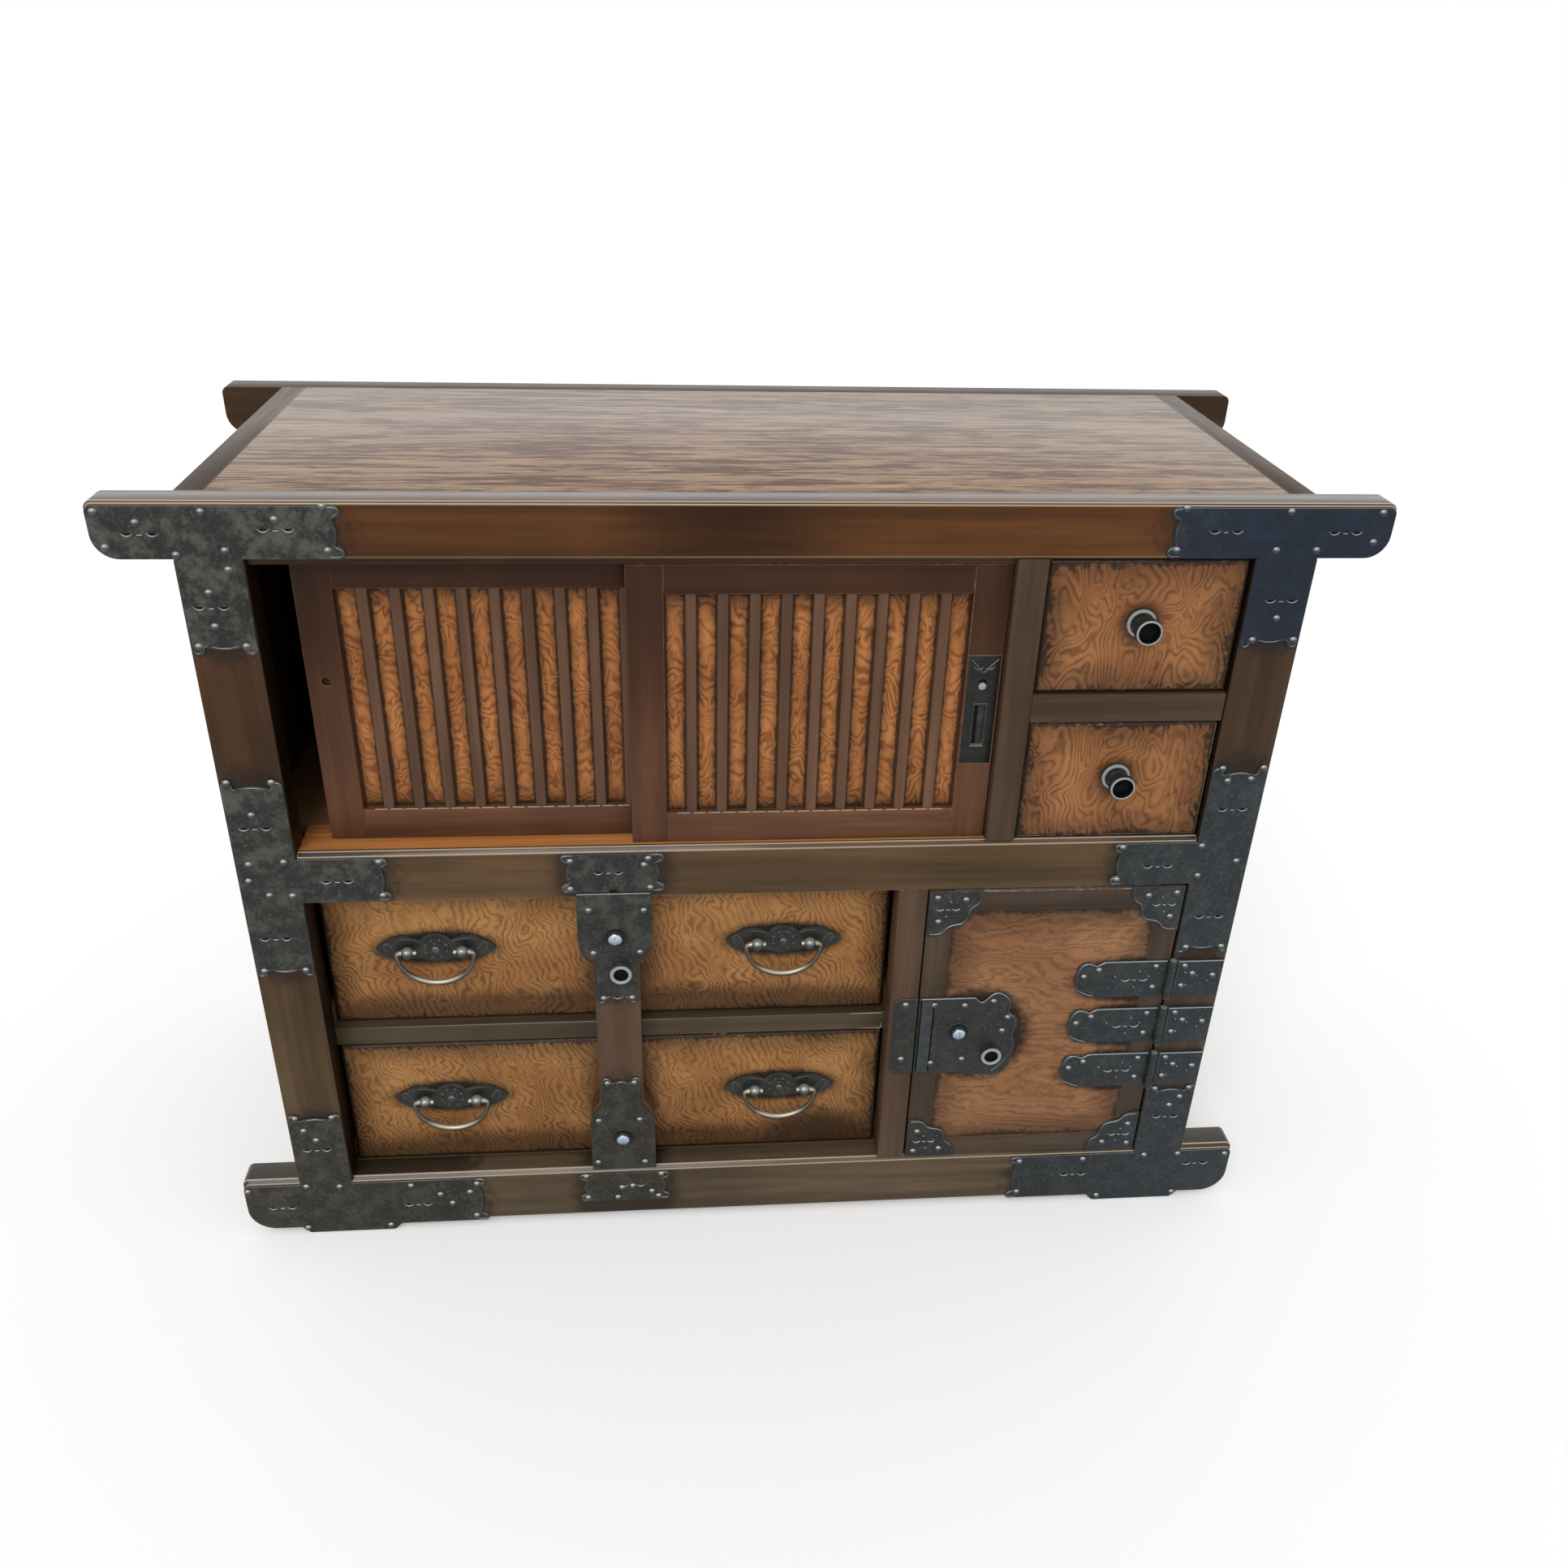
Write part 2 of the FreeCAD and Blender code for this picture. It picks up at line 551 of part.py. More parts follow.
def drawer_rails():
    """The short rails between each pair of drawers."""
    rail = shouldered_rail(-OPEN_HALF, LOWER_DIVIDER_LEFT, -PANEL_INNER, LOWER_PARTITION_LEFT,
                           WIDE_RAIL_RECESS, WIDE_RAIL_RECESS + WIDE_RAIL_DEPTH,
                           WIDE_RAIL_Z, UPPER_WIDE_Z)
    edges = edges_where(rail, lambda b: abs(b.YMax - WIDE_RAIL_RECESS) < 1e-4
                        and abs(b.ZMin - UPPER_WIDE_Z) < 1e-4)
    save("wide_drawer_rail", rail.makeFillet(DRAWER_ARRIS - 0.5, edges))
    save("small_drawer_rail",
         shouldered_rail(SMALL_LEFT, OPEN_HALF, UPPER_PARTITION_LEFT + PARTITION_THICKNESS,
                         PANEL_INNER, SMALL_RAIL_RECESS, SMALL_RAIL_DEPTH,
                         SMALL_RAIL_Z, UPPER_SMALL_Z))


def drawer_runners():
    """Runners under the two upper drawers and guides beside all four."""
    partition_right = UPPER_PARTITION_LEFT + PARTITION_THICKNESS
    wide_rear = WIDE_RAIL_RECESS + WIDE_RAIL_DEPTH
    y0 = FRAME_THICKNESS
    pieces = []
    for z in (Z_FLOOR, UPPER_WIDE_Z):
        pieces.append(box(-PANEL_INNER, -OPEN_HALF, y0, Y_REAR, z, z + GUIDE_HEIGHT))
        pieces.append(box(LOWER_DIVIDER_LEFT, LOWER_PARTITION_LEFT, y0, Y_REAR,
                          z, z + GUIDE_HEIGHT))
    for z in (Z_SHELF, UPPER_SMALL_Z):
        pieces.append(box(OPEN_HALF, PANEL_INNER, y0, Y_REAR, z, z + GUIDE_HEIGHT))
        pieces.append(box(partition_right, SMALL_LEFT, y0, Y_REAR, z, z + GUIDE_HEIGHT))
    z = UPPER_WIDE_Z
    pieces.append(box(-PANEL_INNER, -OPEN_HALF + RUNNER_REACH, wide_rear, Y_REAR,
                      z - RUNNER_THICKNESS, z))
    pieces.append(box(LOWER_DIVIDER_LEFT - RUNNER_REACH, LOWER_PARTITION_LEFT, wide_rear,
                      Y_REAR, z - RUNNER_THICKNESS, z))
    z = UPPER_SMALL_Z
    pieces.append(box(OPEN_HALF - RUNNER_REACH, PANEL_INNER, SMALL_RAIL_DEPTH, Y_REAR,
                      z - RUNNER_THICKNESS, z))
    pieces.append(box(partition_right, SMALL_LEFT + RUNNER_REACH, SMALL_RAIL_DEPTH, Y_REAR,
                      z - RUNNER_THICKNESS, z))
    save("drawer_runners", *pieces)


def feet():
    """Four low blocks under the ends of the bottom rails, their ends cut away below."""
    x0 = -BODY_HALF - FOOT_OUTREACH
    x1 = x0 + FOOT_LENGTH
    face = outline((x0, FOOT_HEIGHT), (x1, FOOT_HEIGHT), (x1 - FOOT_CHAMFER, 0),
                   (x0 + FOOT_CHAMFER, 0))
    pieces = []
    for y0 in (0, Y_REAR):
        foot = sheet(face, y0, y0 + FRAME_THICKNESS)
        pieces.append(foot)
        pieces.append(mirrored(foot))
    save("feet", *pieces)


# ---- sliding doors -------------------------------------------------------------------
DOOR_BOTTOM = Z_SHELF + DOOR_CLEARANCE
DOOR_TOP = Z_HEAD - HEAD_DROP - DOOR_CLEARANCE
RIGHT_DOOR_X = UPPER_DIVIDER_LEFT - DOOR_END_GAP - DOOR_WIDTH
LEFT_DOOR_X = -OPEN_HALF + DOOR_END_GAP + LEFT_DOOR_OPEN
REAR_DOOR_RECESS = FRONT_DOOR_RECESS + DOOR_SPACING


def tongue_y(recess):
    """Front and rear faces of a door's tongue."""
    middle = recess + DOOR_THICKNESS / 2
    return middle - TONGUE_WIDTH / 2, middle + TONGUE_WIDTH / 2


def sliding_door_tracks():
    """Sill and head boards, each with a groove for either door's tongue."""
    sill = box(-OPEN_HALF, UPPER_DIVIDER_LEFT, TRACK_LIP, TRACK_LIP + TRACK_DEPTH,
               Z_SHELF - SILL_THICKNESS, Z_SHELF)
    head_low = Z_HEAD - HEAD_DROP
    head = box(-OPEN_HALF, UPPER_DIVIDER_LEFT, TRACK_LIP, FRAME_THICKNESS,
               head_low, head_low + HEAD_THICKNESS)
    head = head.fuse(box(-OPEN_HALF, UPPER_DIVIDER_LEFT, FRAME_THICKNESS,
                         TRACK_LIP + TRACK_DEPTH, head_low, head_low + HEAD_THICKNESS))
    for recess in (FRONT_DOOR_RECESS, REAR_DOOR_RECESS):
        y0, y1 = tongue_y(recess)
        y0 -= GROOVE_CLEARANCE
        y1 += GROOVE_CLEARANCE
        depth = DOOR_CLEARANCE - LOWER_TONGUE - GROOVE_CLEARANCE
        sill = sill.cut(box(-BIG, BIG, y0, y1, Z_SHELF + depth, Z_SHELF))
        height = UPPER_TONGUE - DOOR_CLEARANCE + GROOVE_CLEARANCE
        head = head.cut(box(-BIG, BIG, y0, y1, head_low, head_low + height))
    # The sill's face is let in behind the rail, with a fine joint line between them.
    lip = TRACK_LIP - GROOVE_CLEARANCE
    joint_line = box(-BIG, BIG, lip, lip + 2 * GROOVE_CLEARANCE,
                     Z_SHELF - SILL_THICKNESS / 2, Z_SHELF)
    save("sliding_door_tracks", sill.cut(joint_line), head.removeSplitter())


def door_frame(x0, recess):
    """Stiles and rails of one sliding door, with tongues above and below."""
    x1 = x0 + DOOR_WIDTH
    y0 = recess
    y1 = recess + DOOR_THICKNESS
    t0, t1 = tongue_y(recess)
    members = []
    for left in (x0, x1 - DOOR_STILE):
        stile = box(left, left + DOOR_STILE, y0, y1, DOOR_BOTTOM, DOOR_TOP)
        stile = stile.fuse(box(left, left + DOOR_STILE, t0, t1,
                               DOOR_BOTTOM - LOWER_TONGUE, DOOR_TOP + UPPER_TONGUE))
        members.append(stile.removeSplitter())
    a = x0 + DOOR_STILE
    b = x1 - DOOR_STILE
    bottom = box(a, b, y0, y1, DOOR_BOTTOM, DOOR_BOTTOM + DOOR_BOTTOM_RAIL)
    bottom = bottom.fuse(box(a, b, t0, t1, DOOR_BOTTOM - LOWER_TONGUE, DOOR_BOTTOM))
    top = box(a, b, y0, y1, DOOR_TOP - DOOR_TOP_RAIL, DOOR_TOP)
    top = top.fuse(box(a, b, t0, t1, DOOR_TOP, DOOR_TOP + UPPER_TONGUE))
    members.append(bottom.removeSplitter())
    members.append(top.removeSplitter())
    return members


def door_infill(x0, recess):
    """The thin panel of one sliding door and the upright slats in front of it."""
    a = x0 + DOOR_STILE
    b = x0 + DOOR_WIDTH - DOOR_STILE
    z0 = DOOR_BOTTOM + DOOR_BOTTOM_RAIL
    z1 = DOOR_TOP - DOOR_TOP_RAIL
    y_slat = recess + SLAT_INSET
    y_panel = y_slat + SLAT_THICKNESS
    panel = box(a, b, y_panel, y_panel + DOOR_PANEL_THICKNESS, z0, z1)
    slats = []
    for i in range(SLAT_COUNT):
        x = (a + b) / 2 + SLAT_PITCH * (i - (SLAT_COUNT - 1) / 2)
        slat = box(x - SLAT_WIDTH / 2, x + SLAT_WIDTH / 2, y_slat, y_panel, z0, z1)
        arrises = edges_where(slat, lambda edge: abs(edge.YMax - y_slat) < 1e-4
                              and edge.ZLength > 1)
        slats.append(slat.makeFillet(SLAT_WIDTH / 7, arrises))
    return panel, slats


def sliding_doors():
    """The left door runs in the rear grooves and the right door in the front ones."""
    frame = door_frame(LEFT_DOOR_X, REAR_DOOR_RECESS)
    panel, slats = door_infill(LEFT_DOOR_X, REAR_DOOR_RECESS)
    peg = rod_y(LEFT_DOOR_X + DOOR_STILE / 2, PEG_HOLE_HEIGHT, PEG_HOLE_RADIUS,
                REAR_DOOR_RECESS - 1, REAR_DOOR_RECESS + DOOR_THICKNESS / 2)
    frame[0] = frame[0].cut(peg)
    save("left_door_frame", *frame)
    save("left_door_panel", panel)
    save("left_door_slats", *slats)

    frame = door_frame(RIGHT_DOOR_X, FRONT_DOOR_RECESS)
    panel, slats = door_infill(RIGHT_DOOR_X, FRONT_DOOR_RECESS)
    x = RIGHT_DOOR_X + DOOR_WIDTH - DOOR_STILE / 2
    z0 = PULL_PLATE_BOTTOM
    z1 = z0 + PULL_PLATE_HEIGHT
    y = FRONT_DOOR_RECESS
    plate = box(x - PULL_PLATE_WIDTH / 2, x + PULL_PLATE_WIDTH / 2, y, y + IRON_THICKNESS, z0, z1)
    slot_z = z0 + PULL_SLOT_HEIGHT / 2
    slot = box(x - PULL_SLOT_WIDTH / 2, x + PULL_SLOT_WIDTH / 2, y, y + PULL_SLOT_DEPTH,
               slot_z, slot_z + PULL_SLOT_HEIGHT)
    frame[1] = frame[1].cut(plate).cut(slot)
    keyhole = rod_y(x, z1 - PULL_PLATE_HEIGHT / 4, PEG_HOLE_RADIUS, y, y + PULL_SLOT_DEPTH)
    frame[1] = frame[1].cut(keyhole)
    save("right_door_frame", *frame)
    save("right_door_panel", panel)
    save("right_door_slats", *slats)
    save("right_door_lock_plate", plate.cut(slot).cut(keyhole))


# ---- drawers -------------------------------------------------------------------------
def drawer(name, x0, x1, z0, z1, recess, top_gap):
    """A drawer's front, and its box of two sides, back and bottom."""
    a = x0 + DRAWER_GAP
    b = x1 - DRAWER_GAP
    low = z0 + DRAWER_GAP
    y0 = recess
    y1 = y0 + DRAWER_FRONT_THICKNESS
    y2 = Y_REAR - DRAWER_REAR_ROOM
    t = DRAWER_SIDE_THICKNESS
    front = box(a, b, y0, y1, low, z1 - top_gap)
    save(name + "_front", eased_front(front, y0, DRAWER_ARRIS))
    high = z1 - DRAWER_SIDE_DROP
    base = low + DRAWER_BOTTOM_LIFT
    save(name + "_box",
         box(a, a + t, y1, y2, low, high),
         box(b - t, b, y1, y2, low, high),
         box(a + t, b - t, y2 - t, y2, low, high),
         box(a + t, b - t, y1, y2 - t, base, base + DRAWER_BOTTOM_THICKNESS))


def knob(x, z, y, base_radius, head_radius, length):
    """A turned iron knob with a washer, a waist and a hollowed head."""
    washer = length * 0.09
    waist = base_radius * 0.5
    head = length * 0.55
    rim = head_radius * 0.72
    return turned([
        (0, y),
        (base_radius, y),
        (base_radius, y - washer),
        (waist, y - washer * 2),
        (waist, y - head),
        (head_radius, y - head - length * 0.16),
        (head_radius, y - length * 0.93),
        (rim, y - length),
        (rim * 0.7, y - length * 0.93),
        (0, y - length * 0.88)], x, z)


def bail_plate_face(x, z):
    """A winged back plate with a raised middle, seen from the front."""
    w = BAIL_PLATE_HALF_WIDTH
    up = BAIL_PLATE_RISE
    down = BAIL_PLATE_FALL
    right = [
        (w * 0.17, up * 0.88, w * 0.26, up * 0.56),
        (w * 0.54, up * 0.88, w * 0.82, up * 0.52),
        (w * 0.93, up * 0.32, w, 0),
        (w * 0.76, -down * 0.66, w * 0.42, -down * 0.68),
        (w * 0.20, -down * 0.76, 0, -down)]
    points = [(0, up)] + [step[2:] for step in right]
    steps = [(x + a, z + b, x + c, z + d) for a, b, c, d in right]
    back = []
    for i in range(len(right) - 1, -1, -1):
        a, b = right[i][:2]
        c, d = points[i]
        back.append((x - a, z + b, x - c, z + d))
    return outline((x, z + up), *(steps + back))


def eye(x, z, y_plate):
    """A stud with a round eye that carries one end of a bail."""
    y = y_plate - BAIL_STANDOFF
    ball = Part.makeSphere(EYE_RADIUS, FreeCAD.Vector(x, y, z))
    stem = rod_y(x, z, EYE_STEM_RADIUS, y, y_plate)
    hole = Part.makeCylinder(EYE_HOLE_RADIUS, 4 * EYE_RADIUS,
                             FreeCAD.Vector(x - 2 * EYE_RADIUS, y, z), FreeCAD.Vector(1, 0, 0))
    return ball.fuse(stem).cut(hole)


def bail(x, z, y_plate):
    """A wire handle that hangs from its two eyes."""
    y = y_plate - BAIL_STANDOFF
    w = BAIL_HALF_WIDTH
    r = BAIL_CORNER_RADIUS
    start = BAIL_EYE_SPREAD - EYE_RADIUS - BAIL_END_PAST_EYE
    k = 1 - math.sqrt(0.5)

    def at(dx, dz):
        return FreeCAD.Vector(x + dx, y, z + dz)

    path = Part.Wire([
        Part.LineSegment(at(-start, 0), at(-w + r, 0)).toShape(),
        Part.Arc(at(-w + r, 0), at(-w + r * k, -r * k), at(-w, -r)).toShape(),
        Part.Arc(at(-w, -r), at(0, -BAIL_DROP), at(w, -r)).toShape(),
        Part.Arc(at(w, -r), at(w - r * k, -r * k), at(w - r, 0)).toShape(),
        Part.LineSegment(at(w - r, 0), at(start, 0)).toShape()])
    ring = Part.makeCircle(BAIL_WIRE_RADIUS, at(-start, 0), FreeCAD.Vector(-1, 0, 0))
    return path.makePipeShell([Part.Wire([ring])], True, True)


def wide_drawer(name, z0, z1, recess):
    """A wide drawer with two bail handles."""
    drawer(name, -OPEN_HALF, LOWER_DIVIDER_LEFT, z0, z1, recess, WIDE_DRAWER_TOP_GAP)
    z = (z0 + z1) / 2 + HANDLE_RISE
    y = recess - IRON_THICKNESS
    fittings = []
    for side, offset in (("left", -HANDLE_SPREAD), ("right", HANDLE_SPREAD)):
        x = WIDE_BAY_CENTRE + offset
        fittings.append(sheet(bail_plate_face(x, z), y, recess))
        fittings.append(rosette(x, z, y))
        for dx in (-BAIL_EYE_SPREAD, BAIL_EYE_SPREAD):
            fittings.append(eye(x + dx, z, y))
        save(name + "_" + side + "_bail", bail(x, z, y))
    save(name + "_handle_plates", *fittings)


def rosette(x, z, y):
    """The stepped round boss in the middle of a back plate."""
    r = ROSETTE_RADIUS
    h = ROSETTE_HEIGHT
    return turned([(0, y), (r, y), (r, y - h * 0.4), (r * 0.75, y - h * 0.4),
                   (r * 0.55, y - h), (0, y - h)], x, z)


def small_drawer(name, z0, z1):
    """A small drawer with one turned knob."""
    drawer(name, SMALL_LEFT, OPEN_HALF, z0, z1, SMALL_DRAWER_RECESS, SMALL_DRAWER_TOP_GAP)
    x = (SMALL_LEFT + OPEN_HALF) / 2
    z = (z0 + z1) / 2 + KNOB_RISE
    save(name + "_knob",
         knob(x, z, SMALL_DRAWER_RECESS, KNOB_BASE_RADIUS, KNOB_HEAD_RADIUS, KNOB_LENGTH))


# ---- locks ---------------------------------------------------------------------------
def lock_cylinder(name, x, z, y_plate):
    """A domed lock cylinder that turns in its plate, with a slot for the key."""
    y = y_plate - LOCK_CLEARANCE
    steps = 6
    dome = []
    for i in range(steps + 1):
        angle = math.radians(90 * i / steps)
        dome.append((LOCK_RADIUS * math.cos(angle), y - LOCK_COLLAR - LOCK_DOME * math.sin(angle)))
    solid = turned([(0, y_plate + LOCK_SHANK_DEPTH),
                    (LOCK_SHANK_RADIUS, y_plate + LOCK_SHANK_DEPTH),
                    (LOCK_SHANK_RADIUS, y), (LOCK_COLLAR_RADIUS, y),
                    (LOCK_COLLAR_RADIUS, y - LOCK_COLLAR)] + dome, x, z)
    front = y - LOCK_COLLAR - LOCK_DOME
    keyway = box(x - KEYWAY_WIDTH / 2, x + KEYWAY_WIDTH / 2, front - 1, front + KEYWAY_DEPTH,
                 z - KEYWAY_HEIGHT / 2, z + KEYWAY_HEIGHT / 2)
    save(name, solid.cut(keyway))


def lock_bore(x, z):
    """The hole that a lock cylinder turns in."""
    return rod_y(x, z, LOCK_SHANK_RADIUS + LOCK_CLEARANCE, BAR_FACE - 2 * IRON_THICKNESS,
                 BAR_FACE + LOCK_SHANK_DEPTH + LOCK_CLEARANCE)


def bolt_y(grown=0.0):
    """Front and rear faces of a bolt, or of its channel."""
    y = BAR_FACE + BOLT_DEPTH
    return y - grown, y + BOLT_THICKNESS + grown


BAR_HEAD_LOCK_Z = BAR_TOP - HEAD_LOCK_INSET
BAR_FOOT_LOCK_Z = BAR_BOTTOM + FOOT_LOCK_INSET


# ---- locking bar ---------------------------------------------------------------------
def bar_face(stem_width, step, inset):
    """The bar, or the iron over it: a wide head, a narrow stem and a wide foot."""
    stem = stem_width / 2
    head = BAR_HEAD_WIDTH / 2 - inset
    foot = BAR_FOOT_WIDTH / 2 - inset
    z_head = BAR_TOP - BAR_HEAD_LENGTH + step
    z_taper = z_head - BAR_SHOULDER
    z_foot = BAR_BOTTOM + BAR_FOOT_LENGTH - step
    z_shoulder = z_foot + BAR_SHOULDER
    bulge = BAR_SHOULDER / 3
    x = BAR_X
    return outline(
        (x - head, BAR_TOP), (x + head, BAR_TOP), (x + head, z_head),
        (x + (head + stem) / 2, z_head - bulge * 2, x + stem, z_taper),
        (x + stem, z_shoulder),
        (x + (foot + stem) / 2, z_foot + bulge * 2, x + foot, z_foot),
        (x + foot, BAR_BOTTOM), (x - foot, BAR_BOTTOM), (x - foot, z_foot),
        (x - (foot + stem) / 2, z_foot + bulge * 2, x - stem, z_shoulder),
        (x - stem, z_taper),
        (x - (head + stem) / 2, z_head - bulge * 2, x - head, z_head))


def offsets(x, z, places, length=1.0, height=1.0):
    """Places given from a datum at x, z, in millimetres or as shares of two sizes."""
    return [(x + dx * length, z + dz * height) for dx, dz in places]


def lock_bar():
    """The bar that holds the wide drawers shut, with a lock and a bolt at each end."""
    bar = sheet(bar_face(BAR_WIDTH, 0.0, 1.0), BAR_FACE, BAR_FACE + BAR_THICKNESS)
    y0, y1 = bolt_y(BOLT_CLEARANCE)
    x0 = BAR_X - BOLT_HALF
    x1 = BAR_X + BOLT_HALF
    head_tail = BAR_HEAD_LOCK_Z - BOLT_TAIL - BOLT_CLEARANCE
    foot_tail = BAR_FOOT_LOCK_Z + BOLT_TAIL + BOLT_CLEARANCE
    bar = bar.cut(box(x0, x1, y0, y1, head_tail, BAR_TOP))
    bar = bar.cut(box(x0, x1, y0, y1, BAR_BOTTOM, foot_tail))
    for z in (BAR_HEAD_LOCK_Z, BAR_FOOT_LOCK_Z):
        bar = bar.cut(lock_bore(BAR_X, z))
    save("lock_bar", bar)

    y = BAR_FACE
    front = y - IRON_THICKNESS
    skin = sheet(bar_face(STEM_IRON_WIDTH, BAR_IRON_STEP, 0.0), front, y)
    lap = box(BAR_X - BAR_HEAD_WIDTH / 2, BAR_X + BAR_HEAD_WIDTH / 2, front, y,
              BAR_TOP, BAR_TOP + IRON_LAP)
    head_end = strap((BAR_X, BAR_TOP), (0, -1), STEM_IRON_WIDTH, HEAD_IRON_LENGTH, y)
    foot_end = strap((BAR_X, BAR_BOTTOM), (0, 1), STEM_IRON_WIDTH, FOOT_IRON_LENGTH, y)
    head_room = box(-BIG, BIG, front, y, BAR_TOP - HEAD_IRON_LENGTH / 1.4, BAR_TOP)
    foot_room = box(-BIG, BIG, front, y, BAR_BOTTOM, BAR_BOTTOM + FOOT_IRON_LENGTH / 1.3)
    head_iron = skin.common(head_room).fuse([lap, head_end]).removeSplitter()
    foot_iron = skin.common(foot_room).fuse(foot_end).removeSplitter()
    head_iron = head_iron.cut(lock_bore(BAR_X, BAR_HEAD_LOCK_Z))
    foot_iron = foot_iron.cut(lock_bore(BAR_X, BAR_FOOT_LOCK_Z))
    places = [(BAR_X + across * BAR_HEAD_WIDTH / 2, BAR_TOP - along * HEAD_IRON_LENGTH)
              for along, across in BAR_HEAD_NAILS]
    places += [(BAR_X + across * BAR_FOOT_WIDTH / 2, BAR_BOTTOM + along * FOOT_IRON_LENGTH)
               for along, across in BAR_FOOT_NAILS]
    save("lock_bar_irons", head_iron, foot_iron, *nails(places, front))
    save("lock_bar_pull", knob(BAR_X + BAR_PULL_OFFSET, BAR_TOP - BAR_PULL_BELOW_TOP, front,
                               PULL_BASE_RADIUS, PULL_HEAD_RADIUS, PULL_LENGTH))
    lock_cylinder("lock_bar_upper_cylinder", BAR_X, BAR_HEAD_LOCK_Z, front)
    lock_cylinder("lock_bar_lower_cylinder", BAR_X, BAR_FOOT_LOCK_Z, front)
    y0, y1 = bolt_y()
    half = BOLT_WIDTH / 2
    save("lock_bar_upper_bolt", box(BAR_X - half, BAR_X + half, y0, y1,
                                    BAR_HEAD_LOCK_Z - BOLT_TAIL, BAR_TOP))
    save("lock_bar_lower_bolt", box(BAR_X - half, BAR_X + half, y0, y1,
                                    BAR_BOTTOM, BAR_FOOT_LOCK_Z + BOLT_TAIL))


# ---- ironwork on the frame -----------------------------------------------------------
def strap_steps(centre, heading, half, reach):
    """The end of an iron strap: an ear at each corner and a low swell between them."""
    hx, hz = heading
    ax, az = hz, -hx

    def at(across, along):
        return (centre[0] + ax * across + hx * along, centre[1] + az * across + hz * along)

    ear = min(EAR_WIDTH, half * 0.6)
    low = reach - EAR_HEIGHT
    return [
        at(-half, low),
        at(-half + ear * 0.4, reach) + at(-half + ear, low - 1),
        at(0, low + 3) + at(half - ear, low - 1),
        at(half - ear * 0.4, reach) + at(half, low)], at(-half, 0), at(half, 0)


def strap(centre, heading, width, reach, y):
    """An iron strap that starts at a point and ends in a cusped tip, its rear face at y."""
    steps, first, last = strap_steps(centre, heading, width / 2, reach)
    return sheet(outline(first, *(steps + [last])), y - IRON_THICKNESS, y)


def joint_iron(plates):
    """One iron made of overlapping plates."""
    return plates[0].fuse(plates[1:]).removeSplitter()


def iron_nails(groups, side, z, rail_length, reach, high, low):
    """Places of one corner iron's nails, each group from its own part of the iron."""
    data = ((side * rail_length / 2, z), (side * POST_X, z), (side * (OPEN_HALF - reach), z),
            (side * POST_X, high), (side * POST_X, low))
    places = []
    for (x, datum_z), group in zip(data, groups):
        places += offsets(x, datum_z, group)
    return places


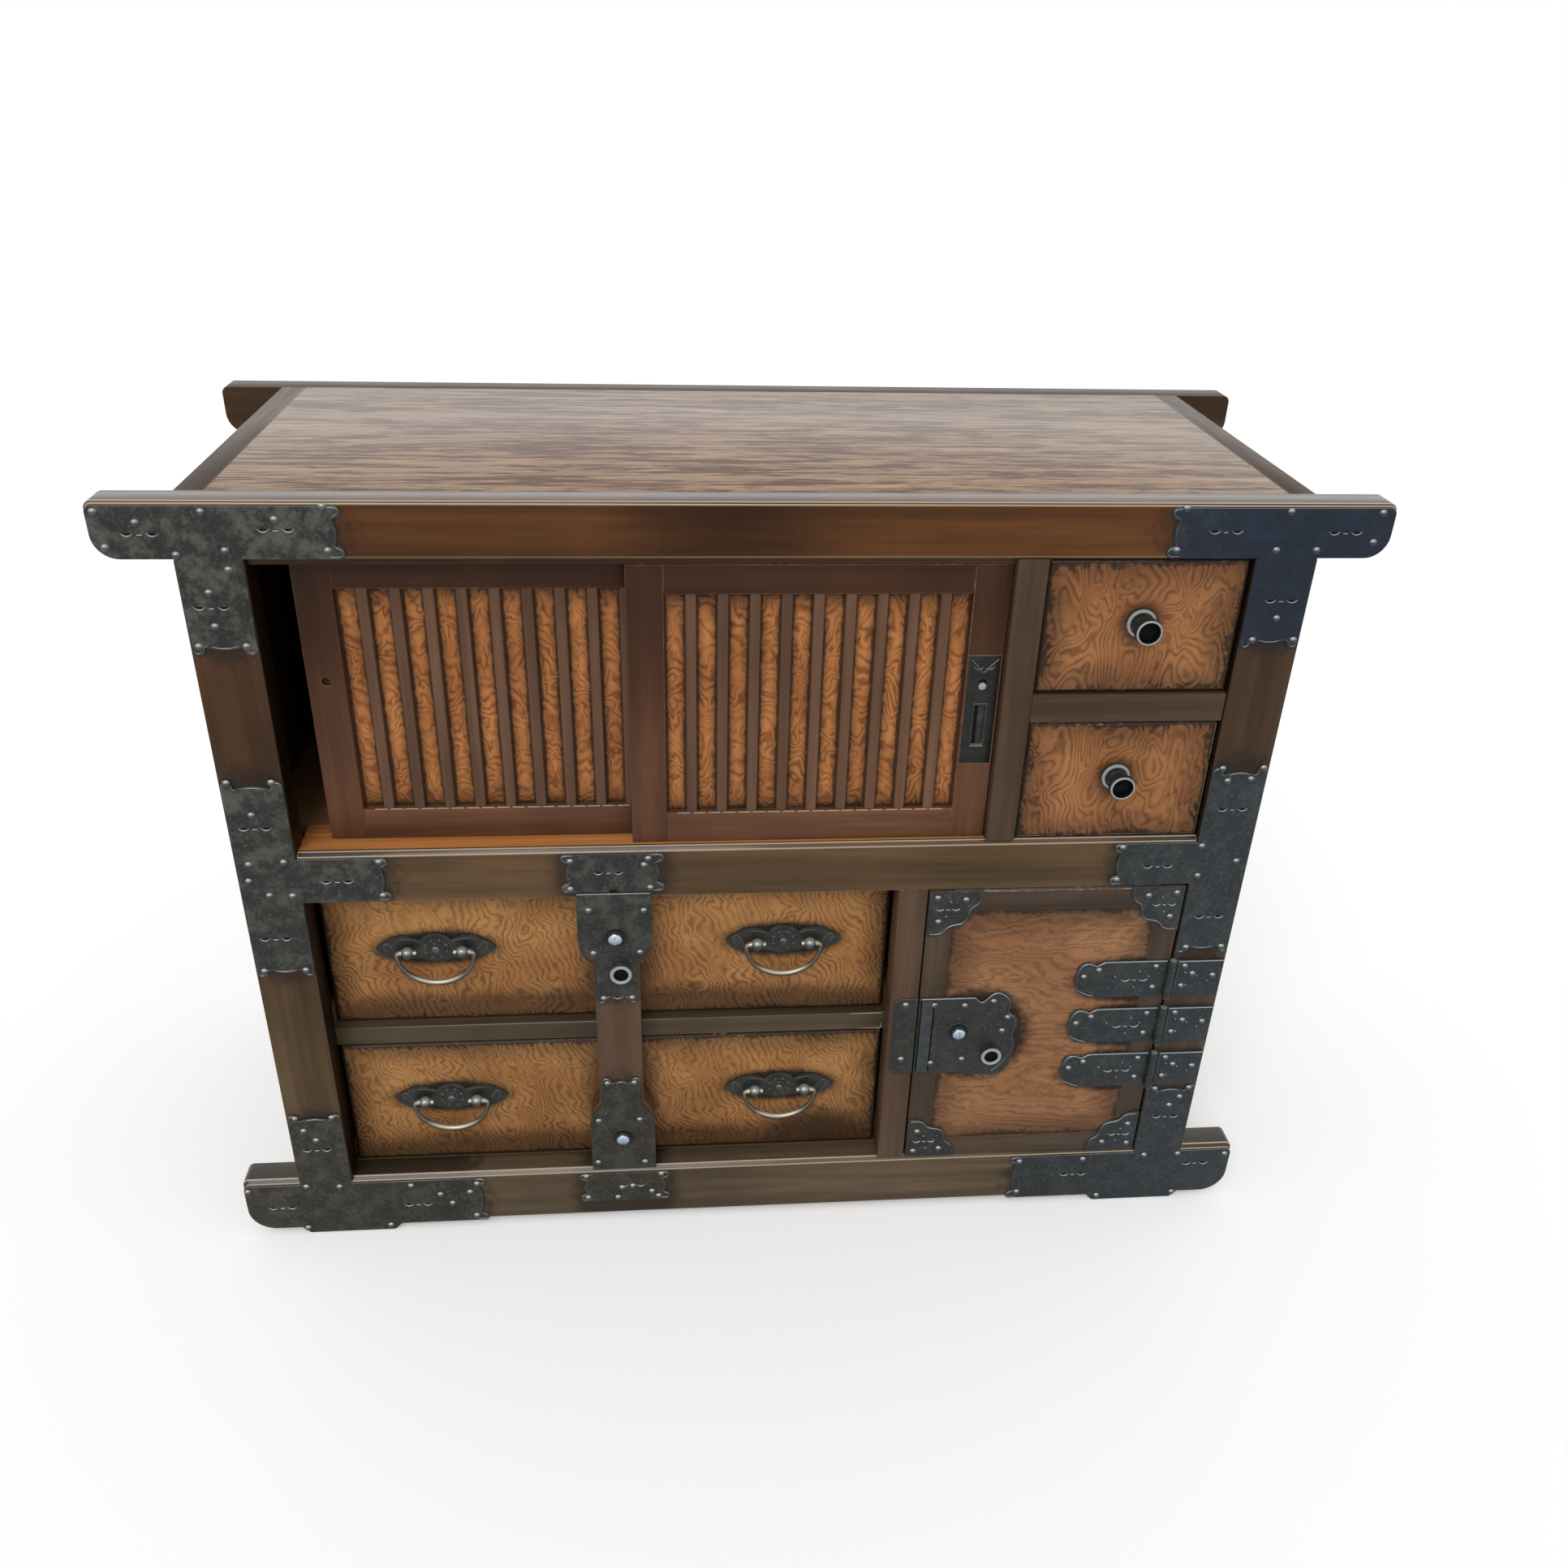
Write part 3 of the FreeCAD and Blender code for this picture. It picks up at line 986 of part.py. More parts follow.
def corner_irons():
    """Left-hand corner irons and their mirror images; returns the places of their nails."""
    y = 0.0
    front = -IRON_THICKNESS
    post_width = POST_WIDTH - 2 * IRON_MARGIN
    top_height = TOP_RAIL_HEIGHT - TOP_ARRIS - 2 * IRON_MARGIN
    mid_height = MID_RAIL_HEIGHT - RAIL_ARRIS - 2 * IRON_MARGIN
    bottom_height = BOTTOM_RAIL_HEIGHT - RAIL_ARRIS - 2 * IRON_MARGIN
    top_z = Z_HEAD + IRON_MARGIN + top_height / 2
    mid_z = Z_MID + IRON_MARGIN + mid_height / 2
    bottom_z = FOOT_HEIGHT + IRON_MARGIN + bottom_height / 2
    end_room = box(-BIG, -OPEN_HALF, front, y, 0, BIG)

    top = joint_iron([
        sheet(top_rail_face(IRON_MARGIN, TOP_ARRIS), front, y).common(end_room),
        strap((-POST_X, top_z), (0, -1), post_width, TOP_IRON_DROP + top_height / 2, y),
        strap((-OPEN_HALF, top_z), (1, 0), top_height, TOP_IRON_REACH, y)])
    middle = joint_iron([
        strap((-POST_X, mid_z), (0, 1), post_width, MID_IRON_RISE + mid_height / 2, y),
        strap((-POST_X, mid_z), (0, -1), post_width, mid_z - MID_IRON_LOW_TIP, y),
        strap((-POST_X, mid_z), (1, 0), mid_height, MID_IRON_REACH + POST_WIDTH / 2, y)])
    foot_left = -BODY_HALF - FOOT_OUTREACH + IRON_MARGIN
    foot_right = foot_left + FOOT_LENGTH - 2 * IRON_MARGIN
    bottom = joint_iron([
        sheet(bottom_rail_face(IRON_MARGIN, RAIL_ARRIS), front, y).common(end_room),
        strap((-POST_X, bottom_z), (0, 1), post_width, BOTTOM_IRON_TIP - bottom_z, y),
        strap((-OPEN_HALF, bottom_z), (1, 0), bottom_height, BOTTOM_IRON_REACH, y),
        sheet(outline((foot_left, bottom_z), (foot_right, bottom_z), (foot_right, FOOT_HEIGHT),
                      (foot_right - FOOT_CHAMFER, IRON_MARGIN),
                      (foot_left + FOOT_CHAMFER, IRON_MARGIN),
                      (foot_left, FOOT_HEIGHT)), front, y)])
    irons = [top, middle, bottom]
    save("corner_irons", *(irons + [mirrored(iron) for iron in irons]))
    top_low = Z_HEAD - TOP_IRON_DROP
    mid_high = Z_SHELF + MID_IRON_RISE
    mid_low = MID_IRON_LOW_TIP - IRON_MARGIN
    bottom_high = BOTTOM_IRON_TIP + RAIL_ARRIS / 2
    places = []
    for side, nails_top, nails_mid, nails_bottom in (
            (-1, TOP_LEFT_NAILS, MID_LEFT_NAILS, BOTTOM_LEFT_NAILS),
            (1, TOP_RIGHT_NAILS, MID_RIGHT_NAILS, BOTTOM_RIGHT_NAILS)):
        places += iron_nails(nails_top, side, Z_HEAD, TOP_RAIL_LENGTH, TOP_IRON_REACH,
                             Z_HEAD, top_low)
        places += iron_nails(nails_mid, side, Z_MID + MID_RAIL_HEIGHT / 2, BODY_WIDTH,
                             MID_IRON_REACH, mid_high, mid_low)
        places += iron_nails(nails_bottom, side, FOOT_HEIGHT + BOTTOM_RAIL_HEIGHT / 2,
                             BOTTOM_RAIL_LENGTH, BOTTOM_IRON_REACH, bottom_high,
                             FOOT_HEIGHT)
    return places


def keeper_plates():
    """Plates on the rails above and below the bar, and beside the strong door's lock."""
    y = 0.0
    front = -IRON_THICKNESS
    half = KEEPER_WIDTH / 2
    x = BAR_X
    low = BAR_TOP + IRON_LAP + BAR_END_GAP
    high = Z_SHELF - RAIL_ARRIS - IRON_MARGIN
    upper = sheet(keeper_face(x, half, low, high), front, y)
    upper = upper.cut(rod_y(x, low, KEEPER_NOTCH, front - 1, y + 1))
    top = Z_FLOOR - RAIL_ARRIS - IRON_MARGIN
    bottom = FOOT_HEIGHT + LOWER_KEEPER_LIFT
    lower = sheet(keeper_face(x, half, bottom, top), front, y)
    z0 = LOCK_PLATE_Z - LOCK_PLATE_HEIGHT / 2
    z1 = LOCK_PLATE_Z + LOCK_PLATE_HEIGHT / 2
    r = KEEPER_REACH / 3
    k = 1 - math.sqrt(0.5)
    left = SAFE_LEFT - KEEPER_REACH
    side = sheet(outline(
        (SAFE_LEFT, z1), (SAFE_LEFT, z0), (left + r, z0),
        (left + r * k, z0 + r * k, left, z0 + r), (left, z1 - r),
        (left + r * k, z1 - r * k, left + r, z1)), front, y)
    save("keeper_plates", upper, lower, side)
    return (offsets(x, (low + high) / 2, UPPER_KEEPER_NAILS, half, (high - low) / 2)
            + offsets(x, (bottom + top) / 2, LOWER_KEEPER_NAILS, half, (top - bottom) / 2)
            + offsets(SAFE_LEFT, LOCK_PLATE_Z, DOOR_KEEPER_NAILS, -KEEPER_REACH,
                      LOCK_PLATE_HEIGHT / 2))


def keeper_face(x, half, z0, z1):
    """A plate whose two ends are each two ears with a swell between them."""
    middle = (x, (z0 + z1) / 2)
    right, _, _ = strap_steps(middle, (1, 0), (z1 - z0) / 2, half)
    left, _, _ = strap_steps(middle, (-1, 0), (z1 - z0) / 2, half)
    return outline((x, z1), *(right + [(x, z0)] + left))


# ---- strong door ---------------------------------------------------------------------
SAFE_X0 = SAFE_LEFT + SAFE_DOOR_GAP
SAFE_X1 = OPEN_HALF - SAFE_DOOR_GAP
SAFE_Z0 = Z_FLOOR + SAFE_DOOR_GAP
SAFE_Z1 = Z_MID - SAFE_DOOR_GAP


def safe_door():
    """A framed door with a flush panel, hung on three strap hinges, and its lock."""
    x0, x1, z0, z1 = SAFE_X0, SAFE_X1, SAFE_Z0, SAFE_Z1
    s = SAFE_STILE
    t = SAFE_DOOR_THICKNESS
    y0, y1 = bolt_y(BOLT_CLEARANCE)
    channel = box(x0, DOOR_LOCK_X + BOLT_TAIL + BOLT_CLEARANCE, y0, y1,
                  DOOR_LOCK_Z - BOLT_HALF, DOOR_LOCK_Z + BOLT_HALF)
    bore = lock_bore(DOOR_LOCK_X, DOOR_LOCK_Z)
    stile = box(x0, x0 + s, 0, t, z0, z1).cut(channel)
    top = box(x0 + s, x1 - s, 0, t, z1 - s, z1)
    arris = edges_where(top, lambda b: abs(b.YMax) < 1e-4 and abs(b.ZMin - z1) < 1e-4)
    save("safe_door_frame", stile, box(x1 - s, x1, 0, t, z0, z1),
         box(x0 + s, x1 - s, 0, t, z0, z0 + s), top.makeChamfer(SAFE_DOOR_ARRIS, arris))
    panel = box(x0 + s, x1 - s, 0, SAFE_PANEL_THICKNESS, z0 + s, z1 - s)
    save("safe_door_panel", panel.cut(channel).cut(bore))

    y = -IRON_THICKNESS
    irons = [hinge_strap(z) for z in HINGE_Z]
    places = []
    for z in HINGE_Z:
        places += offsets(OPEN_HALF, z, STRAP_NAILS, -STRAP_REACH, HINGE_HEIGHT / 2)
    corner = corner_plate()
    middle = FreeCAD.Vector(0, 0, (z0 + z1) / 2)
    for corner_x, side in ((x0, 1), (x1, -1)):
        low = corner if side > 0 else mirrored(corner, (x0 + x1) / 2)
        irons += [low, low.mirror(middle, FreeCAD.Vector(0, 0, 1))]
        for dx, dz in CORNER_PLATE_NAILS:
            x = corner_x + side * dx * CORNER_PLATE_LEG
            places.append((x, z0 + dz * CORNER_PLATE_LEG))
            places.append((x, z1 - dz * CORNER_PLATE_LEG))
    irons.append(sheet(lock_plate_face(), y, 0).cut(bore))
    places += offsets(SAFE_LEFT, LOCK_PLATE_Z, LOCK_PLATE_NAILS, LOCK_PLATE_REACH,
                      LOCK_PLATE_HEIGHT / 2)
    save("safe_door_irons", *(irons + nails(places, y)))
    save("safe_door_pull", knob(SAFE_LEFT + DOOR_PULL_INSET, LOCK_PLATE_Z - DOOR_PULL_DROP, y,
                                PULL_BASE_RADIUS, PULL_HEAD_RADIUS, PULL_LENGTH))
    lock_cylinder("safe_door_cylinder", DOOR_LOCK_X, DOOR_LOCK_Z, y)
    y0, y1 = bolt_y()
    half = BOLT_WIDTH / 2
    save("safe_door_bolt", box(x0, DOOR_LOCK_X + BOLT_TAIL, y0, y1,
                               DOOR_LOCK_Z - half, DOOR_LOCK_Z + half))


def lock_plate_face():
    """The strong door's lock plate: square at the edge, lobed away from it."""
    x = SAFE_X0
    z = LOCK_PLATE_Z
    w = LOCK_PLATE_REACH - SAFE_DOOR_GAP
    h = LOCK_PLATE_HEIGHT / 2
    return outline(
        (x, z + h), (x + w * 0.56, z + h),
        (x + w * 0.60, z + h * 0.86, x + w * 0.66, z + h * 0.90),
        (x + w * 0.78, z + h * 1.12, x + w * 0.90, z + h * 0.78),
        (x + w * 0.91, z + h * 0.60, x + w * 0.97, z + h * 0.50),
        (x + w * 1.01, z + h * 0.25, x + w * 0.97, 0 + z),
        (x + w * 1.01, z - h * 0.30, x + w * 0.97, z - h * 0.62),
        (x + w * 0.90, z - h * 1.02, x + w * 0.70, z - h * 1.06),
        (x + w * 0.54, z - h * 1.04, x + w * 0.46, z - h),
        (x, z - h))


def corner_plate():
    """The door's lower left corner plate, three small arcs across the corner."""
    x = SAFE_X0
    z = SAFE_Z0
    g = CORNER_PLATE_LEG
    return sheet(outline(
        (x, z), (x, z + g),
        (x + g * 0.24, z + g * 0.98, x + g * 0.40, z + g * 0.80),
        (x + g * 0.70, z + g * 0.70, x + g * 0.80, z + g * 0.40),
        (x + g * 0.98, z + g * 0.24, x + g, z)), -IRON_THICKNESS, 0)


def knuckle(z0, z1, inward):
    """One knuckle of a hinge, joined to its leaf on the left or the right."""
    barrel = rod_z(OPEN_HALF, HINGE_AXIS_Y, KNUCKLE_RADIUS, z0, z1)
    side = -1 if inward else 1
    web_end = OPEN_HALF + side * (KNUCKLE_RADIUS + 1.5)
    web = box(min(OPEN_HALF, web_end), max(OPEN_HALF, web_end), -IRON_THICKNESS, 0, z0, z1)
    bore = rod_z(OPEN_HALF, HINGE_AXIS_Y, HINGE_PIN_RADIUS + HINGE_PIN_CLEARANCE, z0 - 1, z1 + 1)
    return barrel.fuse(web).cut(bore)


def knuckle_spans(z):
    """Heights of the three knuckles of the hinge at z: post, door, post."""
    third = HINGE_HEIGHT / 3
    low = z - HINGE_HEIGHT / 2
    return [(low, low + third - KNUCKLE_GAP / 2),
            (low + third + KNUCKLE_GAP / 2, low + 2 * third - KNUCKLE_GAP / 2),
            (low + 2 * third + KNUCKLE_GAP / 2, low + HINGE_HEIGHT)]


def leaf_room():
    """How far a flat leaf keeps from the hinge's axis."""
    return KNUCKLE_RADIUS + 1.5


def hinge_strap(z):
    """A strap on the door with a lobed tip, and its knuckle."""
    h = HINGE_HEIGHT / 2
    x1 = OPEN_HALF - leaf_room()
    x0 = OPEN_HALF - STRAP_REACH
    face = outline(
        (x1, z + h), (x0 + h * 1.25, z + h),
        (x0 + h * 1.05, z + h * 0.84, x0 + h * 0.90, z + h * 0.74),
        (x0 + h * 0.50, z + h * 0.98, x0 + h * 0.08, z + h * 0.40),
        (x0, z - h * 0.10, x0 + h * 0.22, z - h * 0.55),
        (x0 + h * 0.50, z - h * 0.90, x0 + h, z - h),
        (x1, z - h))
    low, high = knuckle_spans(z)[1]
    strap_solid = sheet(face, -IRON_THICKNESS, 0)
    return strap_solid.fuse(knuckle(low, high, True)).removeSplitter()


def post_hinges():
    """The hinge leaves on the right-hand post and the pins through all the knuckles."""
    x0 = OPEN_HALF + leaf_room()
    x1 = OPEN_HALF + LEAF_REACH
    leaves = []
    pins = []
    places = []
    for z in HINGE_Z:
        h = HINGE_HEIGHT / 2
        leaf = box(x0, x1, -2 * IRON_THICKNESS, 0, z - h, z + h)
        spans = knuckle_spans(z)
        leaf = leaf.fuse([knuckle(*spans[0], False), knuckle(*spans[2], False)])
        leaves.append(leaf.removeSplitter())
        pin = rod_z(OPEN_HALF, HINGE_AXIS_Y, HINGE_PIN_RADIUS, z - h, z + h)
        for z_head in (z + h, z - h - PIN_HEAD_HEIGHT):
            pin = pin.fuse(rod_z(OPEN_HALF, HINGE_AXIS_Y, PIN_HEAD_RADIUS,
                                 z_head, z_head + PIN_HEAD_HEIGHT))
        pins.append(pin.removeSplitter())
        places += offsets(OPEN_HALF, z, LEAF_NAILS, LEAF_REACH, h)
    save("post_hinge_leaves", *(leaves + nails(places, -2 * IRON_THICKNESS)))
    save("hinge_pins", *pins)


def main():
    os.makedirs("parts", exist_ok=True)
    front_rails()
    posts()
    rear_frame()
    side_frames()
    boards()
    dividers()
    drawer_rails()
    drawer_runners()
    feet()
    sliding_door_tracks()
    sliding_doors()
    small_drawer("upper_small_drawer", UPPER_SMALL_Z, Z_HEAD)
    small_drawer("lower_small_drawer", Z_SHELF, SMALL_RAIL_Z)
    wide_drawer("upper_wide_drawer", UPPER_WIDE_Z, Z_MID, UPPER_WIDE_RECESS)
    wide_drawer("lower_wide_drawer", Z_FLOOR, WIDE_RAIL_Z, LOWER_WIDE_RECESS)
    lock_bar()
    safe_door()
    post_hinges()
    places = corner_irons()
    places += keeper_plates()
    save("frame_nails", *nails(places, -IRON_THICKNESS))


main()
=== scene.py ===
"""Finished surfaces, fittings and studio for a low merchant's chest with boat-ended rails."""

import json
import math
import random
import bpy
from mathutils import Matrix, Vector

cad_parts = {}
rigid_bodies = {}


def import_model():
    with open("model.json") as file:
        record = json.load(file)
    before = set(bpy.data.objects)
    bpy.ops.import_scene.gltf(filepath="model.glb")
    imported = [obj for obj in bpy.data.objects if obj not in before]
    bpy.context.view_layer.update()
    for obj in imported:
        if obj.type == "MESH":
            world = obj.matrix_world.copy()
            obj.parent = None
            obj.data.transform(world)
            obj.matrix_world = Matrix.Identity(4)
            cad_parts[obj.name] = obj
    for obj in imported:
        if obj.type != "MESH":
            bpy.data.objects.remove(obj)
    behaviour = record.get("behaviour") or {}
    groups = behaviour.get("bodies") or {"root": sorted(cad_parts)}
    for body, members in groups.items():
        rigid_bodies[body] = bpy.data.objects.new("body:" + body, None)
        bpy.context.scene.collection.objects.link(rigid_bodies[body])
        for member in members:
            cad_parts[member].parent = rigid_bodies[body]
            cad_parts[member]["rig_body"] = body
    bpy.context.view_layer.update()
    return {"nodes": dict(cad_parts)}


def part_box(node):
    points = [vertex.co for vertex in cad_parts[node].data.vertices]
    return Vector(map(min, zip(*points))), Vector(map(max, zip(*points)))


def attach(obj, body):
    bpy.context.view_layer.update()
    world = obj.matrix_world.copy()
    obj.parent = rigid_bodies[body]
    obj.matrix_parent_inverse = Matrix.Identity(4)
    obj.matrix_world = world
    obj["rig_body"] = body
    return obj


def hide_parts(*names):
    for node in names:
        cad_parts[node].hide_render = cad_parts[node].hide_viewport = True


bl_info = {
    "name": "Boat-ended merchant's chest",
    "version": (1, 0, 0),
    "blender": (4, 5, 0),
    "location": "View3D > Sidebar > Chest",
    "description": "Lacquered timber, burl fronts and forged fittings round the chest's frame",
    "category": "Add Mesh",
}

import bpy
from mathutils import Matrix, Vector

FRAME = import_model()
NODES = FRAME["nodes"]
MM = 0.001
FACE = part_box("front_left_post")[0].y

# Places and sizes that several pieces share, in millimetres.
POST_X = 503.25
POST_INNER = 473.5
BAR_X = -153.5
BAIL_X = {"left": -352, "right": 32}
BAIL_Z = {"upper": 387.5, "lower": 180.5}
KNOB_X = 371.5
KNOB_Z = {"upper": 782, "lower": 610}
SLOT_X = 221
STRAP_Z = (215, 282, 349)
FLOWERS = ((-558, 873), (-440, 877), (-508, 803), (-507, 567), (-435, 502), (-507, 432),
           (437, 876), (555, 875), (506, 806), (503, 570), (433, 500), (503, 432),
           (-506, 133), (-558, 43), (-400, 40), (503, 137), (555, 57), (400, 46))

# Largest nail head in metres, and the solids past which a node's corners join in one go.
NAIL_SIZE = 0.0095
MANY_SOLIDS = 12

# The way of the sunlight, and the camera's place in metres and its turns in radians.
SUN_PATH = Vector((0.35, 1.0, -1.05))
CAMERA_PLACE = (-0.0925, -1.4141, 1.2756)
CAMERA_TURN = ((-0.0971, "Z"), (-0.5078, "X"), (-0.0321, "Y"), (math.pi / 2, "X"))


def srgb(red, green, blue):
    """A display colour of 0 to 255 as the linear colour that shaders use."""
    def linear(value):
        value /= 255
        return value / 12.92 if value <= 0.04045 else ((value + 0.055) / 1.055) ** 2.4
    return linear(red), linear(green), linear(blue)


def at(x, y, z):
    """A place in millimetres, y measured back from the face of the front frame."""
    return Vector((x * MM, FACE + y * MM, z * MM))


# ---- sizes and colours that a user may change ----------------------------------------
def colour(name, description, red, green, blue):
    return bpy.props.FloatVectorProperty(
        name=name, description=description, subtype="COLOR", size=3, min=0, max=1,
        default=srgb(red, green, blue))


def length(name, description, millimetres):
    return bpy.props.FloatProperty(
        name=name, description=description, subtype="DISTANCE", unit="LENGTH",
        min=0, precision=5, default=millimetres * MM)


def share(name, description, value, top=1.0):
    return bpy.props.FloatProperty(
        name=name, description=description, min=0, max=top, default=value)


class ChestTimber(bpy.types.PropertyGroup):
    rail: colour("Rail lacquer", "Middle rail", 88, 68, 46)
    low_rail: colour("Bottom rail lacquer", "The greyer bottom rail", 92, 78, 60)
    post: colour("Post lacquer", "Posts, sides and rear frame", 72, 50, 31)
    divider: colour("Divider lacquer", "Dividers and the rails between drawers", 82, 63, 49)
    top_rail: colour("Top rail lacquer", "The warmer rail over the doors", 92, 56, 28)
    door: colour("Door lacquer", "Frames of the sliding doors", 76, 48, 32)
    strong_door: colour("Strong door lacquer", "Frame of the strong door", 76, 62, 50)
    slat: colour("Slat lacquer", "Upright slats of the sliding doors", 100, 73, 56)
    top: colour("Top lacquer", "Ground colour of the glossy top", 100, 71, 52)
    top_streak: colour("Top streaks", "Fine pale grain of the top", 194, 162, 130)
    golden: colour("Golden burl", "Wide drawers", 173, 127, 78)
    orange: colour("Orange burl", "Panels of the sliding doors", 178, 116, 66)
    reddish: colour("Reddish burl", "Small drawers", 160, 110, 70)
    rosy: colour("Rosy burl", "Panel of the strong door", 152, 110, 76)
    # Dark colour of the fronts' darkened borders, and of painted shade beside the slats and of
    # the locking bar's painted shadow.
    dark_edge_and_shade: colour("Burnt edge", "Darkened borders of the burl fronts", 40, 31, 24)
    plain: colour("Plain wood", "Bare wood of the back and the drawer insides", 158, 118, 78)
    sill: colour("Sill wood", "Bare wood of the sill under the sliding doors", 207, 138, 77)
    # Bare wood of rubbed edges; also the colour of the painted highlights on arrises and of
    # the painted glints.
    worn_and_glint: colour("Worn arris", "Bare wood where an edge is rubbed", 186, 168, 142)
    arris: length("Arris", "Rounding of the timber's edges", 1.0)
    wear: share("Wear", "How much of the arrises is rubbed bare", 0.35)
    sheen: share("Sheen", "Strength of the lacquer's reflections", 0.14)


class ChestIron(bpy.types.PropertyGroup):
    iron: colour("Iron", "Blackened iron plates", 43, 44, 42)
    dusty: colour("Dusty iron", "Paler patches of the plates", 104, 102, 95)
    olive: colour("Olive iron", "Warmer plates of the lower left", 47, 44, 36)
    # Painted cool light: the plates on the right-hand side are tinted bluer, most of all at
    # the upper right.
    cool_lit_slate: colour("Slate iron", "Cooler plates of the right-hand side", 41, 48, 52)
    cold_light: colour("Cold iron", "Bluer plates of the upper right", 26, 35, 48)
    # Pale iron of nail heads, rims and marks; the rubbed iron puts it on upper faces as a
    # painted highlight.
    rubbed: colour("Rubbed iron", "Nail heads and rims", 168, 173, 174)
    # Painted highlight with handling wear on the upper side of the bails' grips and eyes.
    grip: colour("Handled iron", "Bails and their eyes where hands touch them", 196, 188, 168)
    # Near black; also the painted shade in the finger slot, the keyhole and the gap over the
    # locking bar.
    dark: colour("Hollows", "Inside of the hollow knobs", 10, 10, 10)
    bright: colour("Bright steel", "Domes of the locks", 190, 208, 224)
    plate_edge: length("Plate edge", "Rounding of the plates' edges", 0.45)
    rim: length("Rim", "Radius of the raised rims", 1.2)
    stamp: length("Stamp", "Radius of the raised stamped marks", 1.0)
    wire: length("Bail wire", "Radius of a bail at its ends", 1.9)


class ChestStudio(bpy.types.PropertyGroup):
    floor: colour("Floor", "Pale floor", 250, 250, 250)
    glow: share("Glow", "Lift that shows the open floor as white", 0.22)
    sky: share("Sky", "Strength of the even light", 0.62, 4)
    sun: share("Sun", "Strength of the soft lamp at the front", 1.1, 10)
    spread: bpy.props.FloatProperty(name="Spread", description="Width of the soft lamp",
                                    subtype="ANGLE", unit="ROTATION", min=0,
                                    default=math.radians(35))
    lens: bpy.props.FloatProperty(name="Lens", description="Focal length of the camera",
                                  subtype="DISTANCE_CAMERA", min=1, default=30.82)


def timber():
    return bpy.context.scene.chest_timber


def forge():
    return bpy.context.scene.chest_iron


# ---- shader building -----------------------------------------------------------------
class Value:
    """A node's output. Sums and products of values become nodes of the same tree."""

    def __init__(self, socket):
        self.socket = socket

    def __add__(self, other):
        return calc("ADD", self, other)

    def __sub__(self, other):
        return calc("SUBTRACT", self, other)

    def __mul__(self, other):
        return calc("MULTIPLY", self, other)

    def __truediv__(self, other):
        return calc("DIVIDE", self, other)

    def siblings(self):
        """All outputs of its node."""
        return [Value(socket) for socket in self.socket.node.outputs]


def put(kind, inputs, output=0, tree=None, **settings):
    """Adds a node and returns an output of it; an input is a value or a plain setting."""
    tree = tree or next(v.socket.id_data for v in inputs.values() if isinstance(v, Value))
    node = tree.nodes.new(kind)
    for name, value in settings.items():
        setattr(node, name, value)
    for key, value in inputs.items():
        if isinstance(value, Value):
            tree.links.new(value.socket, node.inputs[key])
        else:
            node.inputs[key].default_value = value
    return Value(node.outputs[output]) if node.outputs else None


def calc(operation, *values, clamp=False):
    """A math node, for vectors where the first value is one."""
    inputs = dict(enumerate(values))
    if isinstance(values[0], Value) and values[0].socket.type == "VECTOR":
        output = "Value" if operation in ("LENGTH", "DOT_PRODUCT") else "Vector"
        return put("ShaderNodeVectorMath", inputs, output, operation=operation)
    return put("ShaderNodeMath", inputs, operation=operation, use_clamp=clamp)


def larger(first, second):
    return calc("MAXIMUM", first, second)


def parts(vector):
    """The x, y and z of a vector."""
    return put("ShaderNodeSeparateXYZ", {0: vector}).siblings()


def joined(x, y, z):
    return put("ShaderNodeCombineXYZ", {0: x, 1: y, 2: z})


def noise(vector, scale, detail=2.0, rough=0.5, distortion=0.0):
    return put("ShaderNodeTexNoise", {"Vector": vector, "Scale": scale, "Detail": detail,
                                      "Roughness": rough, "Distortion": distortion})


def blend(factor, first, second, mode="MIX"):
    """Mixes two colours; a plain colour is given as three numbers."""
    first, second = (c if isinstance(c, Value) else (*c, 1.0) for c in (first, second))
    return put("ShaderNodeMix", {0: factor, 6: first, 7: second}, 2, data_type="RGBA",
               blend_type=mode)


def fade(value, low, high, start=0.0, end=1.0):
    """A smooth step of value from low to high."""
    return put("ShaderNodeMapRange", {"Value": value, "From Min": low, "From Max": high,
                                      "To Min": start, "To Max": end},
               interpolation_type="SMOOTHSTEP")


def shared(name, outputs, **inputs):
    """Turns a function of values into a node group, made when it is first used."""
    def make(build):
        tree = bpy.data.node_groups.new(name, "ShaderNodeTree")
        for label, value in inputs.items():
            kind = "NodeSocketFloat" if isinstance(value, float) else "NodeSocketVector"
            tree.interface.new_socket(name=label, in_out="INPUT",
                                      socket_type=kind).default_value = value
        for label in outputs.split():
            kind = "NodeSocketVector" if label == "Vector" else "NodeSocketFloat"
            tree.interface.new_socket(name=label, in_out="OUTPUT", socket_type=kind)
        given = tree.nodes.new("NodeGroupInput").outputs
        found = build(*(Value(given[label]) for label in inputs))
        end = tree.nodes.new("NodeGroupOutput")
        for i, value in enumerate([found] if isinstance(found, Value) else found):
            tree.links.new(value.socket, end.inputs[i])
        return tree

    def wrap(build):
        def use(*values):
            tree = bpy.data.node_groups.get(name) or make(build)
            made = put("ShaderNodeGroup", dict(enumerate(values)), node_tree=tree)
            return made.siblings() if " " in outputs else made
        return use
    return wrap


ZERO = (0, 0, 0)
ONE = (1, 1, 1)


@shared("Grain Direction", "Vector", Vector=ZERO, Axis=0.0, Member=0.0)
def grain_direction(place, axis, member):
    """Turns a place so that its x runs along the member's grain."""
    x, y, z = parts(place)
    found = place
    for index, swapped in ((2.0, joined(z, y, x)), (1.0, joined(y, x, z))):
        chosen = calc("COMPARE", axis, index, 0.4)
        found = put("ShaderNodeMix", {0: chosen, 4: found, 5: swapped}, 1, data_type="VECTOR")
    return found + joined(member * 3.7, member * 1.3, member)


